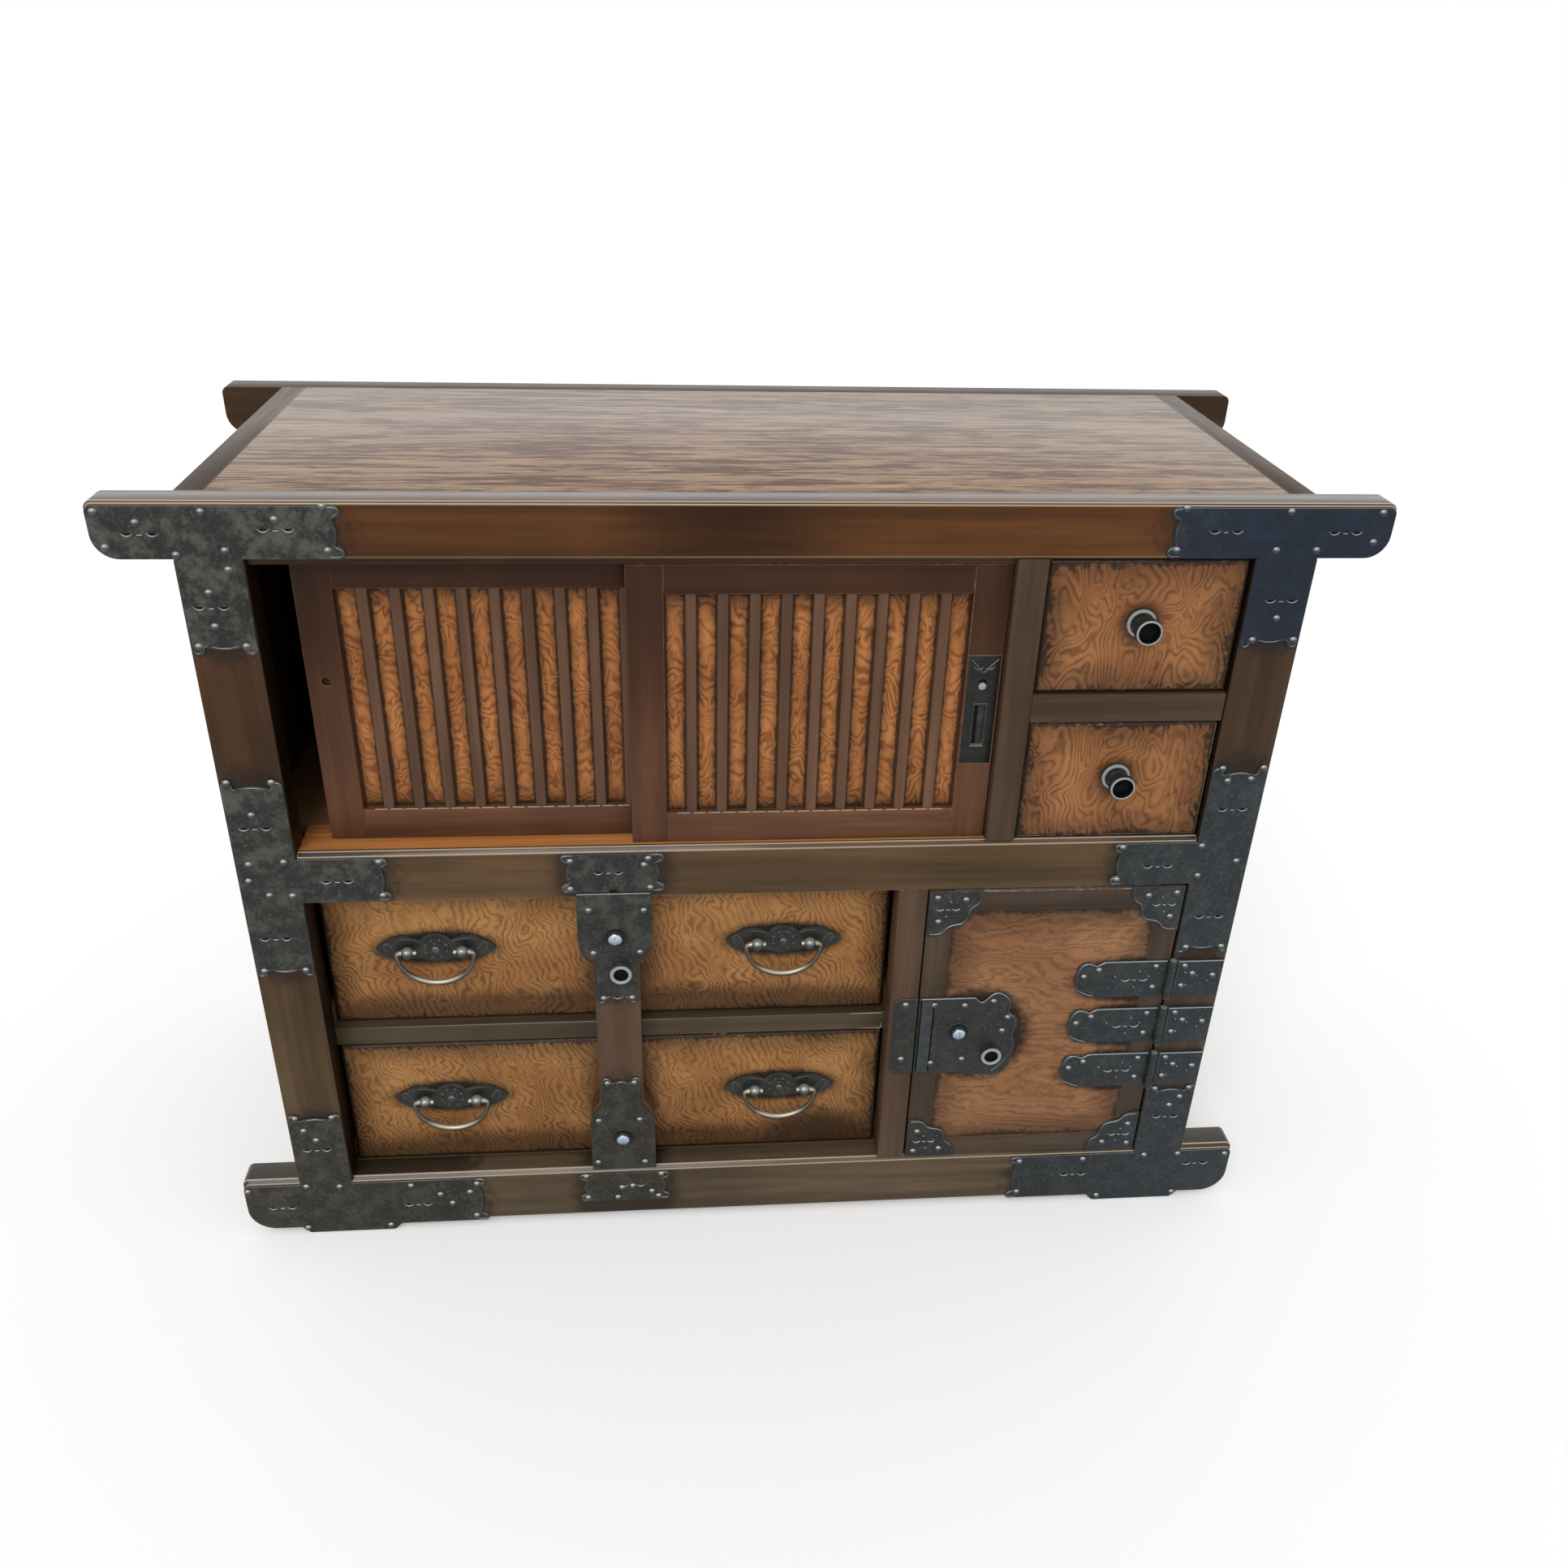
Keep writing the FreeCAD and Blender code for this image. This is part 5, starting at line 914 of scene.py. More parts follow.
class CHEST_OT_carcass(bpy.types.Operator):
    """Lacquered posts, rails, dividers, boards and feet"""
    bl_idname = "chest.carcass"
    bl_label = "Carcass"

    def execute(self, context):
        looks = timber()
        kinds = frame_materials()
        for node, kind, edge in (
                ("front_top_rail", "top", "bright"), ("front_mid_rail", "mid", "bright"),
                ("front_bottom_rail", "low", "bright"),
                ("front_left_post", "left post", "arris"),
                ("front_right_post", "right post", "arris"),
                ("upper_divider", "divider", "arris"), ("lower_divider", "divider", "arris"),
                ("wide_drawer_rail", "wide", "bright"),
                ("small_drawer_rail", "divider", "arris"), ("rear_frame", "side", "arris"),
                ("side_rails", "side", "arris"), ("side_panels", "side", "arris"),
                ("feet", "side", "arris")):
            piece = dressed(node, [kinds[kind], kinds[edge]], looks.arris)
            # The posts' inner faces take the painted-shade lacquer.
            if kind.endswith("post"):
                piece.data.materials.append(kinds["gap"])
                painted(piece, 2, lambda x, y, z: abs(x) < POST_INNER)
        dressed("top_panel", [glossy_top()], looks.arris * 0.5)
        bare = bare_wood("bare_wood", looks.plain, darkening=0.07)
        for node, wood in (
                # Painted shade: the runners seen in the gaps beside the drawers are near
                # black.
                ("drawer_runners", bare_wood("shaded_wood", scaled(looks.plain, 0.22))),
                ("bottom_board", bare), ("mid_board", bare),
                ("back_panels", bare_wood("back_boards", looks.plain, 0.1145))):
            dressed(node, [wood], looks.arris * 0.6)
        # Painted highlights: pale beads along the edges of the rail between the wide drawers.
        glint = lacquer("rail_glint", scaled(looks.worn_and_glint, 0.8), contrast=0.4)
        settle(beads(self.glints(), 0.8 * MM), "drawer_rail_glints", "carcass",
               [glint])
        dressed("sliding_door_tracks", [bare_wood("sill_wood", looks.sill), kinds["side"]],
                kind=lambda low, high: int(low.z > 0.7))
        return {"FINISHED"}

    def glints(self):
        """Painted highlights along the edges at the right end of the rail between the wide
        drawers.
        """
        low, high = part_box("wide_drawer_rail")
        y = (low.y - FACE) / MM + 0.4
        top, foot = high.z / MM - 0.5, low.z / MM + 0.5
        return [[(112, y, top, 0.5), (130, y, top, 1.0), (149, y, top, 1.2)],
                [(122, y, foot, 0.6), (149, y, foot, 1.2)],
                [(149.5, y, foot, 1.2), (149.5, y, foot + 8, 0.6)]]


class CHEST_OT_sliding_doors(bpy.types.Operator):
    """Two framed doors with upright slats in front of a burl panel"""
    bl_idname = "chest.sliding_doors"
    bl_label = "Sliding doors"

    def execute(self, context):
        looks = timber()
        # Painted light and shade: the frames grow lighter towards their feet and darker under
        # the top rail.
        frame = lacquer("door_lacquer", looks.door, contrast=0.8,
                        tone=(560, (1.8, 1.9, 2.0), 820, (0.68, 0.66, 0.62)))
        # Lighter arrises: a painted highlight, with rubbed wear.
        edge = lacquer("door_arris", scaled(looks.door, 1.7), arris=looks.wear * 1.5)
        slats = lacquer("slat_lacquer", looks.slat, contrast=0.8)
        # Painted reflections: pale beads along the bottom rail's top edge between the slats.
        glint = lacquer("door_glint", scaled(looks.worn_and_glint, 0.75), contrast=0.4)
        spread = Vector((0.1, 0, 0))
        for body, y in (("left_door", 28.5), ("right_door", 10.5)):
            low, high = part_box(body + "_slats")
            bars, gaps = self.spacing(body)
            panel = burl(body + "_panel", body + "_panel", looks.orange, (20, 0, 70),
                         (1.3, 1, 0.8), 27.0, 9.0, 0.7, 0.7, 11.0, 0.8, bars=bars,
                         field=(low - spread, high + spread))
            dressed(body + "_frame", [frame, edge], looks.arris * 0.8)
            dressed(body + "_panel", [panel])
            dressed(body + "_slats", [slats])
            lines = [[(x, y, low.z / MM, 1.0) for x in gap] for gap in gaps]
            settle(beads(lines, 0.8 * MM), body + "_glints", body, [glint])
        return {"FINISHED"}

    def spacing(self, body):
        """Where the slats stand, and the gaps between them in millimetres."""
        mesh = NODES[body + "_slats"].data
        slats = sorted((extent(mesh, faces) for faces in solids_of(mesh)),
                       key=lambda found: found[0].x)
        first, last = slats[0], slats[-1]
        half = (first[1].x - first[0].x) / 2
        pitch = (last[0].x - first[0].x) / (len(slats) - 1)
        start = (first[0].x - pitch / 2 + half) / MM
        step = pitch / 2 / MM
        gaps = [(start + i * step + 1.5, start + (i + 1) * step - 1.5)
                for i in range(2 * len(slats))]
        return (first[0].x + half, pitch, half), gaps


class CHEST_OT_drawers(bpy.types.Operator):
    """Burl fronts with darkened borders, and their plain boxes"""
    bl_idname = "chest.drawers"
    bl_label = "Drawers"

    def execute(self, context):
        looks = timber()
        edge = lacquer("drawer_arris", looks.dark_edge_and_shade, arris=looks.wear, contrast=0.6)
        bare = bare_wood("drawer_wood", looks.plain)
        for level, foot, bright, darkening in (
                ("upper", 285, 0.98, []), ("lower", 82, 0.87, [(80, 82, 120, 76, 0.5, 0.85)])):
            small, wide = level + "_small_drawer", level + "_wide_drawer"
            small_front = burl(small + "_burl", small + "_front", looks.reddish, (95, 0, 10),
                               (1.2, 1, 0.62), 16.0, 19.0, 0.6, 0.62, 15.0, 1.6,
                               dark=[(KNOB_X, KNOB_Z[level], 30, 30, 0.35)],
                               raw=level == "lower", fall=0.35)
            dark = [(x, BAIL_Z[level], 84, 30, 0.6) for x in BAIL_X.values()]
            # Painted shadow of the locking bar down the wide fronts, then a darker band along
            # each front's foot.
            dark += [(-153, 280, 60, 400, 0.42, 0.62), (-160, foot, 700, 54, 0.5, 0.7)]
            wide_front = burl(wide + "_burl", wide + "_front", scaled(looks.golden, bright),
                              (125, 0, 45), (1, 1, 1.2), 18.0, 9.0, 1.0, 0.75, 14.0, 1.0,
                              dark=dark + darkening, fall=0.85)
            for body, front in ((small, small_front), (wide, wide_front)):
                dressed(body + "_front", [front, edge], looks.arris)
                dressed(body + "_box", [bare], looks.arris * 0.6)
        return {"FINISHED"}


class CHEST_OT_strong_door(bpy.types.Operator):
    """Framed door with a flush burl panel"""
    bl_idname = "chest.strong_door"
    bl_label = "Strong door"

    def execute(self, context):
        looks = timber()
        frame = lacquer("strong_door_lacquer", looks.strong_door)
        edge = lacquer("strong_door_arris", looks.strong_door, arris=looks.wear * 1.6)
        darkening = [(250, 274, 80, 78, 0.7)]
        darkening += [(440, z, 96, 42, 0.65) for z in (347, 281, 213)]
        darkening += [(x, z, 76, 76, 0.65) for z in (87, 474) for x in (186, 472)]
        panel = burl("strong_door_burl", "safe_door_panel", looks.rosy, (10, 0, 80),
                     (0.35, 1, 1.0), 20.0, 9.0, 1.8, 0.36, 17.0, 0.8, dark=darkening,
                     comb=0.15)
        dressed("safe_door_frame", [frame, edge], looks.arris * 0.8)
        dressed("safe_door_panel", [panel])
        return {"FINISHED"}


class CHEST_OT_locking_bar(bpy.types.Operator):
    """The upright bar that holds the wide drawers shut"""
    bl_idname = "chest.locking_bar"
    bl_label = "Locking bar"

    def execute(self, context):
        looks = timber()
        wood = lacquer("bar_lacquer", scaled(looks.divider, 1.25), contrast=0.6,
                       dark=[(-153, 480, 70, 165, 0.8), (-153, 80, 70, 165, 0.8)], depth=0.6)
        edge = lacquer("bar_arris", looks.divider, arris=looks.wear)
        dressed("lock_bar", [wood, edge], looks.arris)
        return {"FINISHED"}


# ---- ironwork ------------------------------------------------------------------------
def irons():
    """Plain, rubbed, dark and sooty iron and bright rims, made once."""
    looks = forge()
    made = bpy.data.materials
    if "blackened_iron" not in made:
        blackened_iron()
        # Rubbed iron for nails, rims, marks and pins: pale where rubbed, with a painted
        # highlight on upper faces.
        rubbed_highlit_iron("rubbed_highlit_iron", 0.05, 0.8)
        hollow_iron()
        toned_iron("sooty_iron", looks.iron, looks.dusty, 0.6, 0.5)
        # Pale iron: a painted highlight all round the rims of the knobs and pulls; also the
        # keyhole plug.
        toned_iron("bright_rim", looks.rubbed, looks.rubbed, 0.85)
    return [made[name] for name in
            ("blackened_iron", "rubbed_highlit_iron", "hollow_iron", "sooty_iron", "bright_rim")]


def is_nail(low, high):
    """Second material for the solids that are nail heads."""
    return int(max(high - low) < NAIL_SIZE)


def stroke(x, y, z, points, across=1, up=1):
    """A raised line given from one place; points are (right, up, share of the radius)."""
    return [(x + across * dx, y, z + up * dz, size) for dx, dz, size in points]


def crescents(x, z, y, big=1.0):
    """The raised lines of a stamped flower: a curved stroke on each side of a dash."""
    dash = ((-2.4 * big, 0, 0.9), (0, -0.2, 1.0), (2.4 * big, 0, 0.9))
    curve = ((-5.8, 2.0, 0.3), (-3.8, -0.5, 0.9), (0, -1.7, 1.2), (3.8, -0.5, 0.9),
             (5.8, 2.0, 0.3))
    return [stroke(x, y, z, dash)] + [stroke(x + side * 11 * big, y, z, curve, big, big)
                                      for side in (-1, 1)]


def dots(places, x, z, y):
    """Small raised dots, placed from x and z."""
    return [stroke(x + dx, y, z + dz, ((-0.8, 0, 1.1), (0.8, 0, 1.1))) for dx, dz in places]


def dents(x, z, big=1.0):
    """The dark hollows of the stamped flower, one above each stroke."""
    hollow = ((-3, 1.6, 0.7), (0, 0.9, 1.2), (3, 1.6, 0.7))
    return [stroke(x + side * 11 * big, -1.0, z, hollow, big, big) for side in (-1, 1)]


def tip_rim(x, z, heading, half, reach, y):
    """The raised edge that follows the ears and the swell of a strap's tip."""
    hx, hz = heading
    ear = min(11.0, half * 0.6)
    low = reach - 8.0
    inner = half - ear * 1.5
    curl = ((half - 2.4, low - 9, 0.3), (half - 1.3, low - 2, 0.8),
            (half - ear * 0.2, reach - 1.8, 1.1), (half - ear * 0.7, reach - 1.6, 1.15),
            (half - ear * 0.95, low - 0.5, 0.9), (half - ear * 1.3, low - 1.4, 0.5))
    swell = ((-inner, low - 1.2, 0.4), (-inner * 0.5, low + 0.8, 0.9), (0, low + 1.4, 1.0),
             (inner * 0.5, low + 0.8, 0.9), (inner, low - 1.2, 0.4))
    return [[(x + hz * side * across + hx * along, y, z - hx * side * across + hz * along,
              size * 0.8) for across, along, size in run]
            for run, side in ((curl, -1), (curl, 1), (swell, 1))]


def plate_lines():
    """Raised lines of the carcass irons."""
    y = -1.3
    lines = []
    for side in (-1, 1):
        for x, z, heading, half, reach in (
                (POST_X, 875.25, (0, -1), 29.75, 118.75),
                (472, 875.25, (-side, 0), 24.75, 90),
                (POST_X, 503.75, (0, 1), 29.75, 117.25),
                (POST_X, 503.75, (0, -1), 29.75, 120.25),
                (POST_X, 503.75, (-side, 0), 26.25, 121.25),
                (POST_X, 44.75, (0, 1), 29.75, 142), (472, 44.75, (-side, 0), 34.25, 154),
                (side * BAR_X, 506.2, (side, 0), 23.7, 54),
                (side * BAR_X, 56.5, (side, 0), 22.5, 54)):
            lines += tip_rim(side * x, z, heading, half, reach, y)
    for x, z in FLOWERS:
        lines += crescents(x, z, y - 0.3)
    return lines + crescents(-158, 506, y, 0.95) + crescents(-145, 57, y, 0.9)


def dent_and_gap_shade_lines():
    """The hollows of the carcass irons, and a dark line that paints the shade in the gap over
    the locking bar.
    """
    lines = dents(-158, 506, 0.85)
    for x, z in FLOWERS:
        lines += dents(x, z)
    # The last line is a dark bead: a painted shadow in the gap over the locking bar.
    return lines + [[(-191, -0.4, 482.1, 1.1), (-116, -0.4, 482.1, 1.1)]]


def bar_lines():
    """Rims of the locking bar's irons."""
    y = -1.9
    head = ((-38.5, 0, 0.8), (0, 0, 0.8), (38.5, 0, 0.8))
    return [*tip_rim(BAR_X, 475, (0, -1), 22.5, 140, y),
            *tip_rim(BAR_X, 86, (0, 1), 22.5, 142, y), stroke(BAR_X, y, 480.4, head)]


def door_lines():
    """Rims and marks of the strong door's straps, lock plate and corner plates."""
    y = -1.6
    lines = []
    for z in STRAP_Z:
        for rim in (((104, 23.6, 1), (33, 23.6, 1)),
                    ((33, 23.6, 1), (27, 21, 1), (24, 18, 0.9)),
                    ((24, 18, 0.9), (12, 25.5, 1), (2.5, 13, 1), (1.6, -4, 0.9),
                     (5, -18, 0.8), (24, -23.4, 0.7))):
            lines.append(stroke(362, y, z, rim))
        lines += crescents(431, z - 2, y, 0.95)
        lines += dots(((5, 10), (1, -12), (16, 3), (-23, 4)), 431, z, y)
    for rim in (((2, 53.6, 1), (63.8, 53.6, 1)),
                ((63.8, 53.6, 1), (69.6, 46.2, 0.8), (75.4, 47.85, 0.9), (88.16, 63.8, 1),
                 (107.88, 47.3, 1), (102.08, 30.8, 0.8), (111.94, 25.3, 0.9),
                 (114.26, 11, 1), (110.2, 0, 0.8), (114.26, -16.5, 0.8),
                 (110.2, -36.3, 0.7), (92.8, -55, 0.7))):
        lines.append(stroke(186, y, 274, rim))
    corner = ((3, 56, 0.5), (16, 58, 0.8), (23, 45, 0.8), (43, 43, 0.8), (45, 23, 0.8),
              (58, 16, 0.8), (56, 3, 0.5))
    for x, across in ((186, 1), (470, -1)):
        for z, up in ((87, 1), (474, -1)):
            lines.append(stroke(x, y, z, corner, across, up))
            lines += crescents(x + across * 21, z + up * 24, y, 0.8)
            lines += dots(((across * 20, up * 33), (across * 24, up * 14)), x, z, y)
    return lines


def leaf_lines():
    """Rims and marks of the hinge leaves on the post."""
    lines = []
    for z in STRAP_Z:
        lines.append(stroke(479, -3.2, z, ((0, 23.6, 1), (52, 23.6, 1))))
        lines.append(stroke(479, -3.2, z, ((0.4, -22, 0.7), (0.4, 23, 1.1))))
        lines += dots(((10, 8), (24, 3), (13, -10), (37, -4)), 479, z, -3.2)
    return lines


def slot_lines():
    """The rim of the finger slot and the crest at the plate's top."""
    rim = ((-7, 645, 0.5), (-7, 693, 0.4)), ((-7, 693, 0.4), (7, 693, 0.4)), \
        ((7, 693, 0.4), (7, 645, 0.5)), ((7, 645, 0.8), (-7, 645, 0.8))
    crest = (((14, 742, 0.6), (9, 737, 1.0), (3, 730, 1.0), (0, 727, 0.7)),
             ((11, 734, 0.5), (6, 728, 0.9), (1, 733, 0.6)))
    return ([stroke(SLOT_X, 10, 0, run) for run in rim]
            + [stroke(SLOT_X, 10, 0, run, side) for side in (-1, 1) for run in crest])


def ornament(x, y, z):
    """Petals round a bail's boss and a scroll on each wing of its plate."""
    lines = []
    for turn in range(8):
        angle = math.radians(45 * turn + 22.5)
        c, s = math.cos(angle), math.sin(angle)
        lines.append([(x + 10 * c, y - 1.0, z + 10 * s, 1.3),
                      (x + 14.4 * c, y - 0.5, z + 14.4 * s, 0.8)])
    wings = (((44, -6, 0.6), (50, 9, 1.0), (58, 5, 1.0), (54, -3, 0.7)),
             ((18, 9, 0.6), (27, 13, 1.0), (38, 12.5, 0.6)))
    return lines + [stroke(x, y, z, run, side) for side in (-1, 1) for run in wings]


class CHEST_OT_irons(bpy.types.Operator):
    """Corner irons, keepers and hinges with raised rims and stamped marks"""
    bl_idname = "chest.irons"
    bl_label = "Ironwork"

    def execute(self, context):
        plain, rubbed, hollow, _, bright = irons()
        looks = forge()
        black = toned_iron("lock_plate_iron", looks.iron, looks.dusty, 0.34, 0.3)
        pale = toned_iron("batten_iron", looks.cool_lit_slate, looks.dusty, 1.35, 0.8)
        for node, iron, kind in (
                ("corner_irons", plain, None), ("keeper_plates", plain, None),
                ("right_door_lock_plate", black, None),
                ("post_hinge_leaves", plain, is_nail), ("lock_bar_irons", plain, is_nail),
                ("safe_door_irons", plain, is_nail)):
            dressed(node, [iron, rubbed], looks.plate_edge, kind)
        dressed("hinge_pins", [rubbed], looks.plate_edge)
        dressed("frame_nails", [rubbed])
        grooves = [[(x, -1.4, 223, 0.8), (x, -1.4, 325, 0.8)] for x in (188.2, 203.0)]
        for name, body, lines, radius, iron in (
                ("frame_iron_marks", "carcass", plate_lines(), looks.stamp, rubbed),
                ("frame_iron_dents", "carcass", dent_and_gap_shade_lines(), looks.stamp * 1.2, hollow),
                ("bar_iron_marks", "locking_bar", bar_lines(), looks.stamp, rubbed),
                ("strong_door_iron_rims", "strong_door", door_lines(), looks.rim, rubbed),
                ("hinge_leaf_rims", "carcass", leaf_lines(), looks.rim, rubbed),
                ("lock_plate_grooves", "strong_door", grooves, looks.rim, hollow),
                ("finger_slot_rim", "right_door", slot_lines(), looks.rim * 0.7, rubbed)):
            settle(beads(lines, radius), name, body, [iron])
        settle(batten(189.0, 202.0, 222, 326, -2.7, -1.3), "lock_plate_batten", "strong_door",
               materials=[pale])
        settle(turned(SLOT_X, 10.6, 712.6, ((3.9, 0), (3.9, 1.2), (3.2, 1.8), (0.6, 2)), 20),
               "keyhole_plug", "right_door", [bright])
        # Painted shade: near-black linings fill the finger slot and the keyhole.
        for name, iron, piece in (
                ("finger_slot_lining", hollow, batten(215.7, 219.4, 647.3, 690.7, 12.6, 13.6)),
                ("finger_slot_flap", plain, batten(219.4, 226.3, 647.3, 690.7, 11.8, 13.6)),
                ("keyhole_lining", hollow,
                 turned(SLOT_X, 13.4, 715.75, ((4.3, 0), (4.3, 1), (3.4, 1.2), (0.4, 1.3)),
                        20))):
            settle(piece, name, "right_door", materials=[iron])
        return {"FINISHED"}


class CHEST_OT_locks(bpy.types.Operator):
    """Domed lock cylinders, their collars and bolts"""
    bl_idname = "chest.locks"
    bl_label = "Locks"

    def execute(self, context):
        plain = irons()[0]
        steel = turned_steel("bolt_steel", srgb(140, 140, 142), 0.3)
        for name, body, x, y, z in (("lock_bar_upper", "locking_bar", BAR_X, -1.9, 425),
                                    ("lock_bar_lower", "locking_bar", BAR_X, -1.9, 137),
                                    ("safe_door", "strong_door", 234, -1.6, 280)):
            dome = dome_steel(name + "_dome", x, z)
            dressed(name + "_cylinder", [dome], 0.0004)
            dressed(name + "_bolt", [steel], 0.0006)
            collar = turned(x, y, z, ((13.4, -0.4), (13.4, 0.5), (12.6, 1.3), (11.8, 1.4),
                                      (11.2, 0.9), (11.0, -0.2)))
            settle(collar, name + "_collar", body, materials=[plain])
        return {"FINISHED"}


class CHEST_OT_knobs(bpy.types.Operator):
    """Hollow turned knobs and the small ring pulls"""
    bl_idname = "chest.knobs"
    bl_label = "Knobs and pulls"

    def execute(self, context):
        knob = ((15, 0), (15, 1.2), (14.2, 2.4), (12.2, 2.9), (8.2, 3.2), (7.2, 4.4), (6.4, 8),
                (6.8, 12.5), (9.6, 15.4), (12.6, 17.6), (13.5, 19.8), (13.5, 23.6),
                (13, 25.8), (12.2, 26.8), (11.6, 27), (10.9, 26.5), (10.4, 25), (10, 22),
                (9.4, 18), (1.5, 16.5))
        pull = ((10, 0), (10, 1.2), (8.6, 2.2), (5.4, 2.8), (5.6, 5.4), (9.6, 6.6),
                (11.4, 7.6), (12, 9), (11.4, 10.5), (10.2, 11), (9, 10.7), (8, 9.6),
                (7.2, 7.2), (1, 6.8))
        x, y = KNOB_X, 4
        for level, z in KNOB_Z.items():
            piece = self.fitted(level + "_small_drawer_knob", turned(x, y, z, knob, 40))
            # The rims take the pale iron as a painted highlight, the cup the near-black iron.
            painted(piece, 1, lambda px, py, pz: py < y - 26.2 or y - 2.7 < py < y - 1.3)
            painted(piece, 2, lambda px, py, pz: py < y - 16.2
                    and math.hypot(px - x, pz - z) < 10.7)
        for node, x, y, z in (("lock_bar_pull", -148.5, -1.9, 381),
                              ("safe_door_pull", 274, -1.6, 249)):
            piece = self.fitted(node, turned(x, y, z, pull, 36))
            # The pull's rim takes the pale iron as a painted highlight, its cup the near-black
            # iron.
            painted(piece, 1, lambda px, py, pz: py < y - 8.8)
            painted(piece, 2, lambda px, py, pz: py < y - 6.5
                    and math.hypot(px - x, pz - z) < 7.9)
        return {"FINISHED"}

    def fitted(self, node, piece):
        _, _, hollow, sooty, bright = irons()
        return stand_in(piece, node, [sooty, bright, hollow])


class CHEST_OT_bails(bpy.types.Operator):
    """Bail handles on winged back plates"""
    bl_idname = "chest.bails"
    bl_label = "Bails"

    def execute(self, context):
        rubbed = irons()[1]
        looks = forge()
        winged = toned_iron("handle_plate_iron", looks.iron, looks.dusty, 0.95, 0.6)
        raised = toned_iron("ornament_iron", looks.dusty, looks.dusty, 0.75, 1.2)
        for level, plate in (("upper", 38.4), ("lower", 29.4)):
            z = BAIL_Z[level]
            drawer = level + "_wide_drawer"
            handled_and_highlit = rubbed_highlit_iron(level + "_handled_highlit_iron", -0.2, 0.6, z * MM)
            plates = dressed(drawer + "_handle_plates", [winged, rubbed])
            painted(plates, 1, lambda px, py, pz: py < plate - 2.9)
            lines = []
            for side, x in BAIL_X.items():
                stand_in(self.bail(x, plate - 8.7, z, looks.wire),
                         drawer + "_" + side + "_bail", [handled_and_highlit])
                lines += ornament(x, plate, z)
                boss = turned(x, plate, z, ((9.6, 1), (9.4, 2.8), (7.8, 3.8), (6.4, 3.4),
                                            (5.4, 3.2), (4.2, 4.6), (1.4, 5.2)), 24)
                settle(boss, drawer + "_" + side + "_boss", drawer, materials=[winged, rubbed])
                painted(boss, 1, lambda px, py, pz: py < plate - 4.2)
            settle(beads(lines, looks.stamp * 0.8), drawer + "_plate_ornament", drawer,
                   materials=[raised])
        return {"FINISHED"}

    def bail(self, x, y, z, wire):
        """A wire that starts in one eye, swells along its grip and ends in the other."""
        run = [(-20, 0, 1.7), (-30, 0, 1.95), (-36.8, 0.3, 1.9), (-41.8, -1.8, 1.4),
               (-41.6, -9, 1.3), (-39.2, -17, 1.3), (-33.8, -26, 1.45), (-25, -33.5, 1.65),
               (-13.5, -38.8, 1.8), (-4.4, -40.5, 1.85)]
        run += [(-dx, dz, size) for dx, dz, size in reversed(run)]
        return beads([stroke(x, y, z, run)], wire)


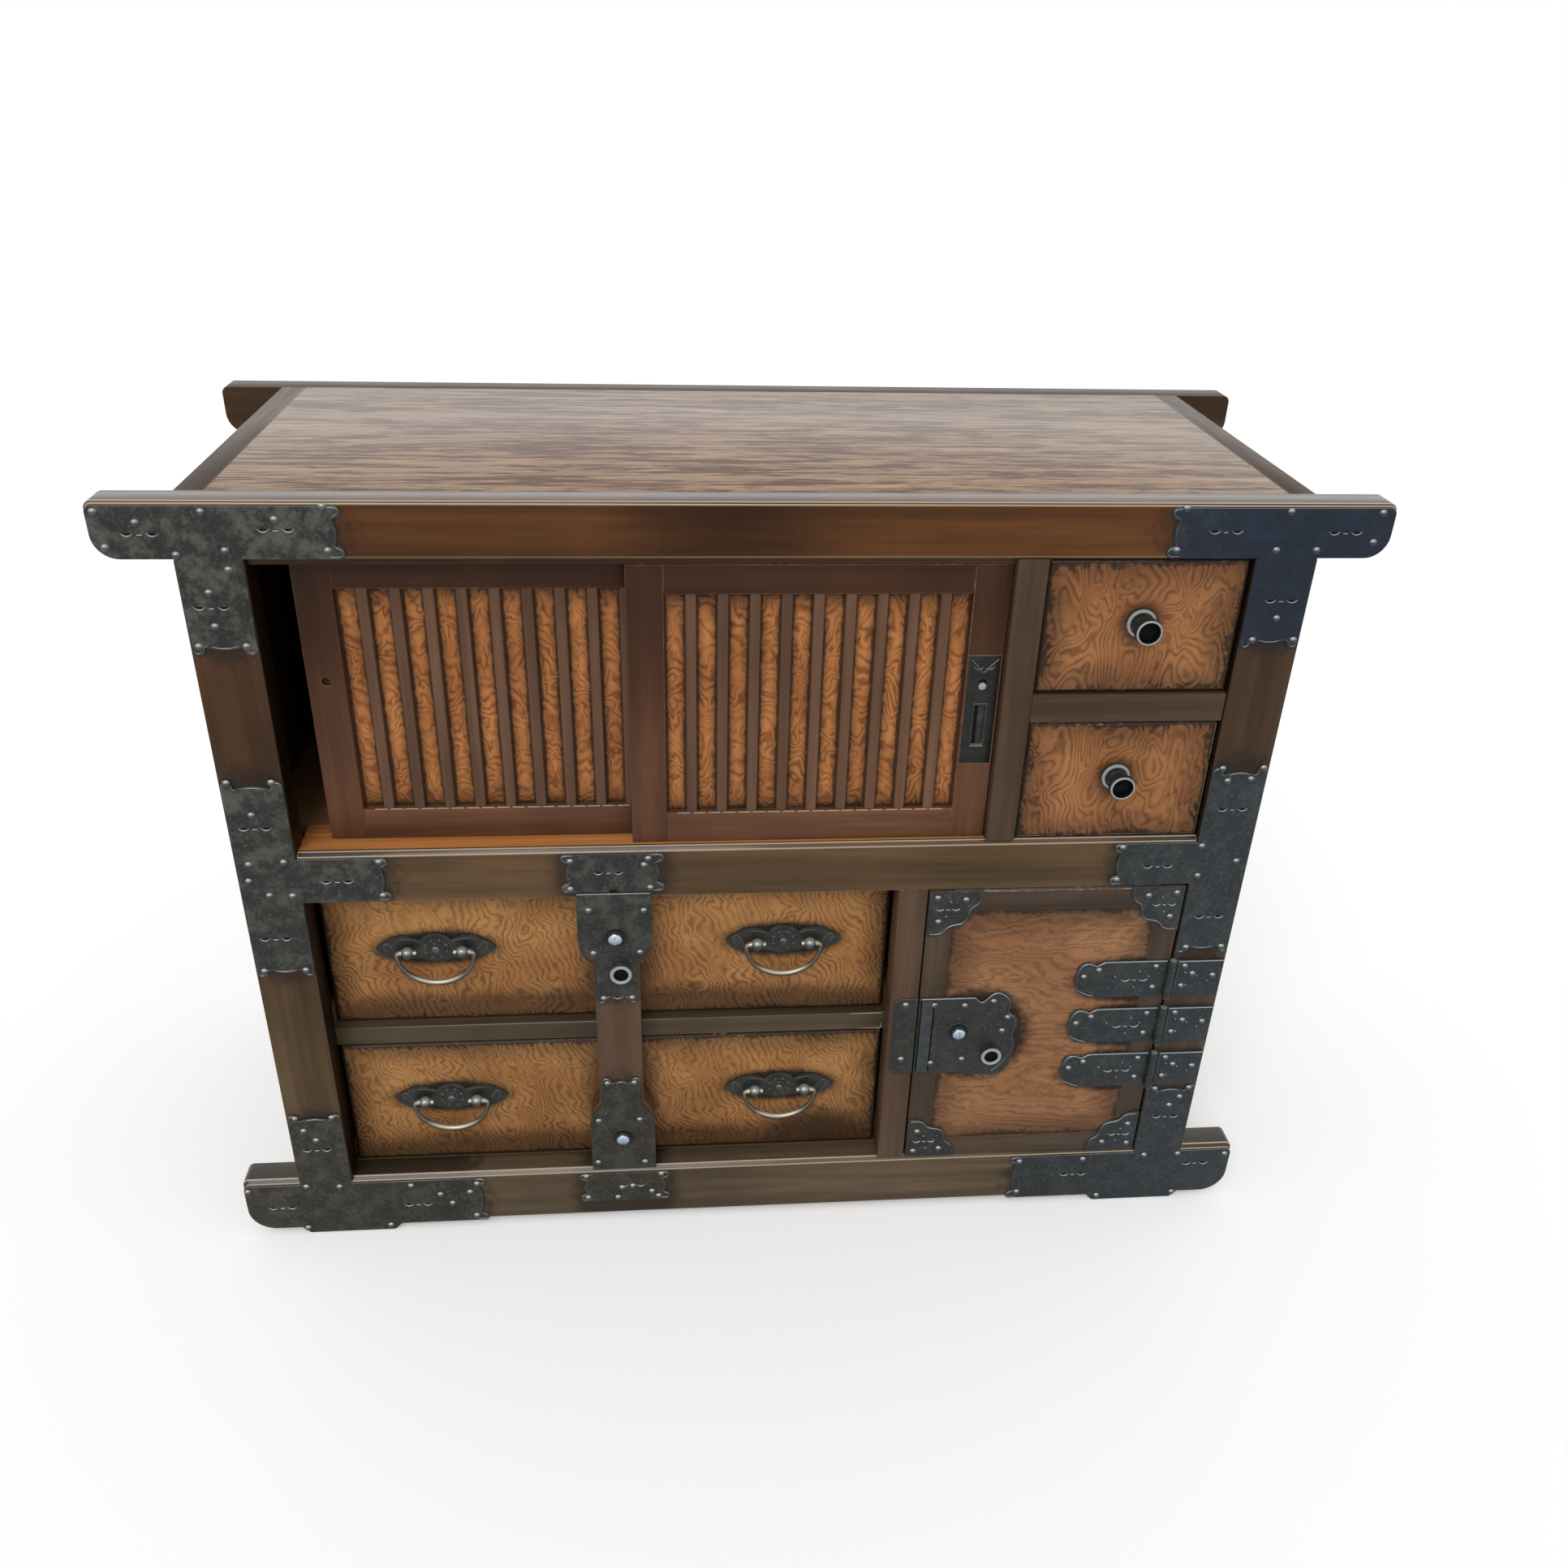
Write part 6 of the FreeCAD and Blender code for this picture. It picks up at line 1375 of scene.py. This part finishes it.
# ---- studio --------------------------------------------------------------------------
class CHEST_OT_studio(bpy.types.Operator):
    """Pale floor, even light and the camera"""
    bl_idname = "chest.studio"
    bl_label = "Studio"

    def execute(self, context):
        scene = context.scene
        looks = scene.chest_studio
        self.floor(looks)
        self.sky(scene, looks)

        bpy.ops.object.light_add(type="SUN", location=(0, 0, 3))
        sun = context.object
        sun.name = "soft_sun"
        sun.rotation_euler = SUN_PATH.to_track_quat("-Z", "Y").to_euler()
        sun.data.energy = looks.sun
        sun.data.angle = looks.spread

        bpy.ops.object.camera_add()
        camera = context.object
        camera.data.sensor_width = 36.0
        camera.data.lens = looks.lens
        camera.data.clip_start = 0.05
        turn = Matrix.Identity(4)
        for angle, axis in CAMERA_TURN:
            turn = turn @ Matrix.Rotation(angle, 4, axis)
        camera.matrix_world = Matrix.Translation(CAMERA_PLACE) @ turn
        scene.camera = camera
        scene.view_settings.view_transform = "Standard"
        return {"FINISHED"}

    def floor(self, looks):
        """A pale floor that keeps the shadow and shows as white where it is open."""
        bpy.ops.object.select_all(action="DESELECT")
        bpy.ops.mesh.primitive_plane_add(size=30, location=(0, 0, 0))
        floor = bpy.context.object
        floor.name = "studio_floor"
        paint, _ = new_material("pale_floor")
        tree = paint.node_tree
        seen = put("ShaderNodeLightPath", {}, "Is Camera Ray", tree)
        shader = put("ShaderNodeBsdfPrincipled",
                     {"Base Color": (*looks.floor, 1.0), "Roughness": 1.0,
                      "Specular IOR Level": 0.0, "Emission Color": (1.0, 1.0, 1.0, 1.0),
                      "Emission Strength": seen * looks.glow})
        put("ShaderNodeOutputMaterial", {0: shader})
        floor.data.materials.append(paint)

    def sky(self, scene, looks):
        """Even light that itself shows as white."""
        world = scene.world or bpy.data.worlds.new("sky")
        scene.world = world
        world.use_nodes = True
        tree = world.node_tree
        tree.nodes.clear()
        camera = put("ShaderNodeLightPath", {}, "Is Camera Ray", tree)
        path = camera.socket.node.outputs
        seen = larger(camera, larger(Value(path["Is Glossy Ray"]),
                                     Value(path["Is Transmission Ray"])))
        even, shown = (put("ShaderNodeBackground", {0: (1, 1, 1, 1), 1: strength}, tree=tree)
                       for strength in (looks.sky, 1.0))
        put("ShaderNodeOutputWorld", {0: put("ShaderNodeMixShader",
                                             {0: seen, 1: even, 2: shown})})


class CHEST_PT_panel(bpy.types.Panel):
    """Buttons for each part of the chest"""
    bl_idname = "CHEST_PT_panel"
    bl_label = "Merchant's chest"
    bl_space_type = "VIEW_3D"
    bl_region_type = "UI"
    bl_category = "Chest"

    def draw(self, context):
        for operator in STEPS:
            self.layout.operator(operator.bl_idname)
        for looks in (timber(), forge(), context.scene.chest_studio):
            box = self.layout.box()
            for name in looks.__annotations__:
                box.prop(looks, name)


STEPS = (CHEST_OT_carcass, CHEST_OT_sliding_doors, CHEST_OT_drawers, CHEST_OT_strong_door,
         CHEST_OT_locking_bar, CHEST_OT_irons, CHEST_OT_locks, CHEST_OT_knobs, CHEST_OT_bails,
         CHEST_OT_studio)
GROUPS = {"chest_timber": ChestTimber, "chest_iron": ChestIron, "chest_studio": ChestStudio}


def register():
    for made in (*GROUPS.values(), *STEPS, CHEST_PT_panel):
        bpy.utils.register_class(made)
    for name, made in GROUPS.items():
        setattr(bpy.types.Scene, name, bpy.props.PointerProperty(type=made))


def unregister():
    for name in GROUPS:
        delattr(bpy.types.Scene, name)
    for made in reversed((*GROUPS.values(), *STEPS, CHEST_PT_panel)):
        bpy.utils.unregister_class(made)


def main():
    register()
    bpy.ops.chest.carcass()
    bpy.ops.chest.sliding_doors()
    bpy.ops.chest.drawers()
    bpy.ops.chest.strong_door()
    bpy.ops.chest.locking_bar()
    bpy.ops.chest.irons()
    bpy.ops.chest.locks()
    bpy.ops.chest.knobs()
    bpy.ops.chest.bails()
    bpy.ops.chest.studio()
    bpy.context.view_layer.update()


if __name__ == "__main__":
    main()
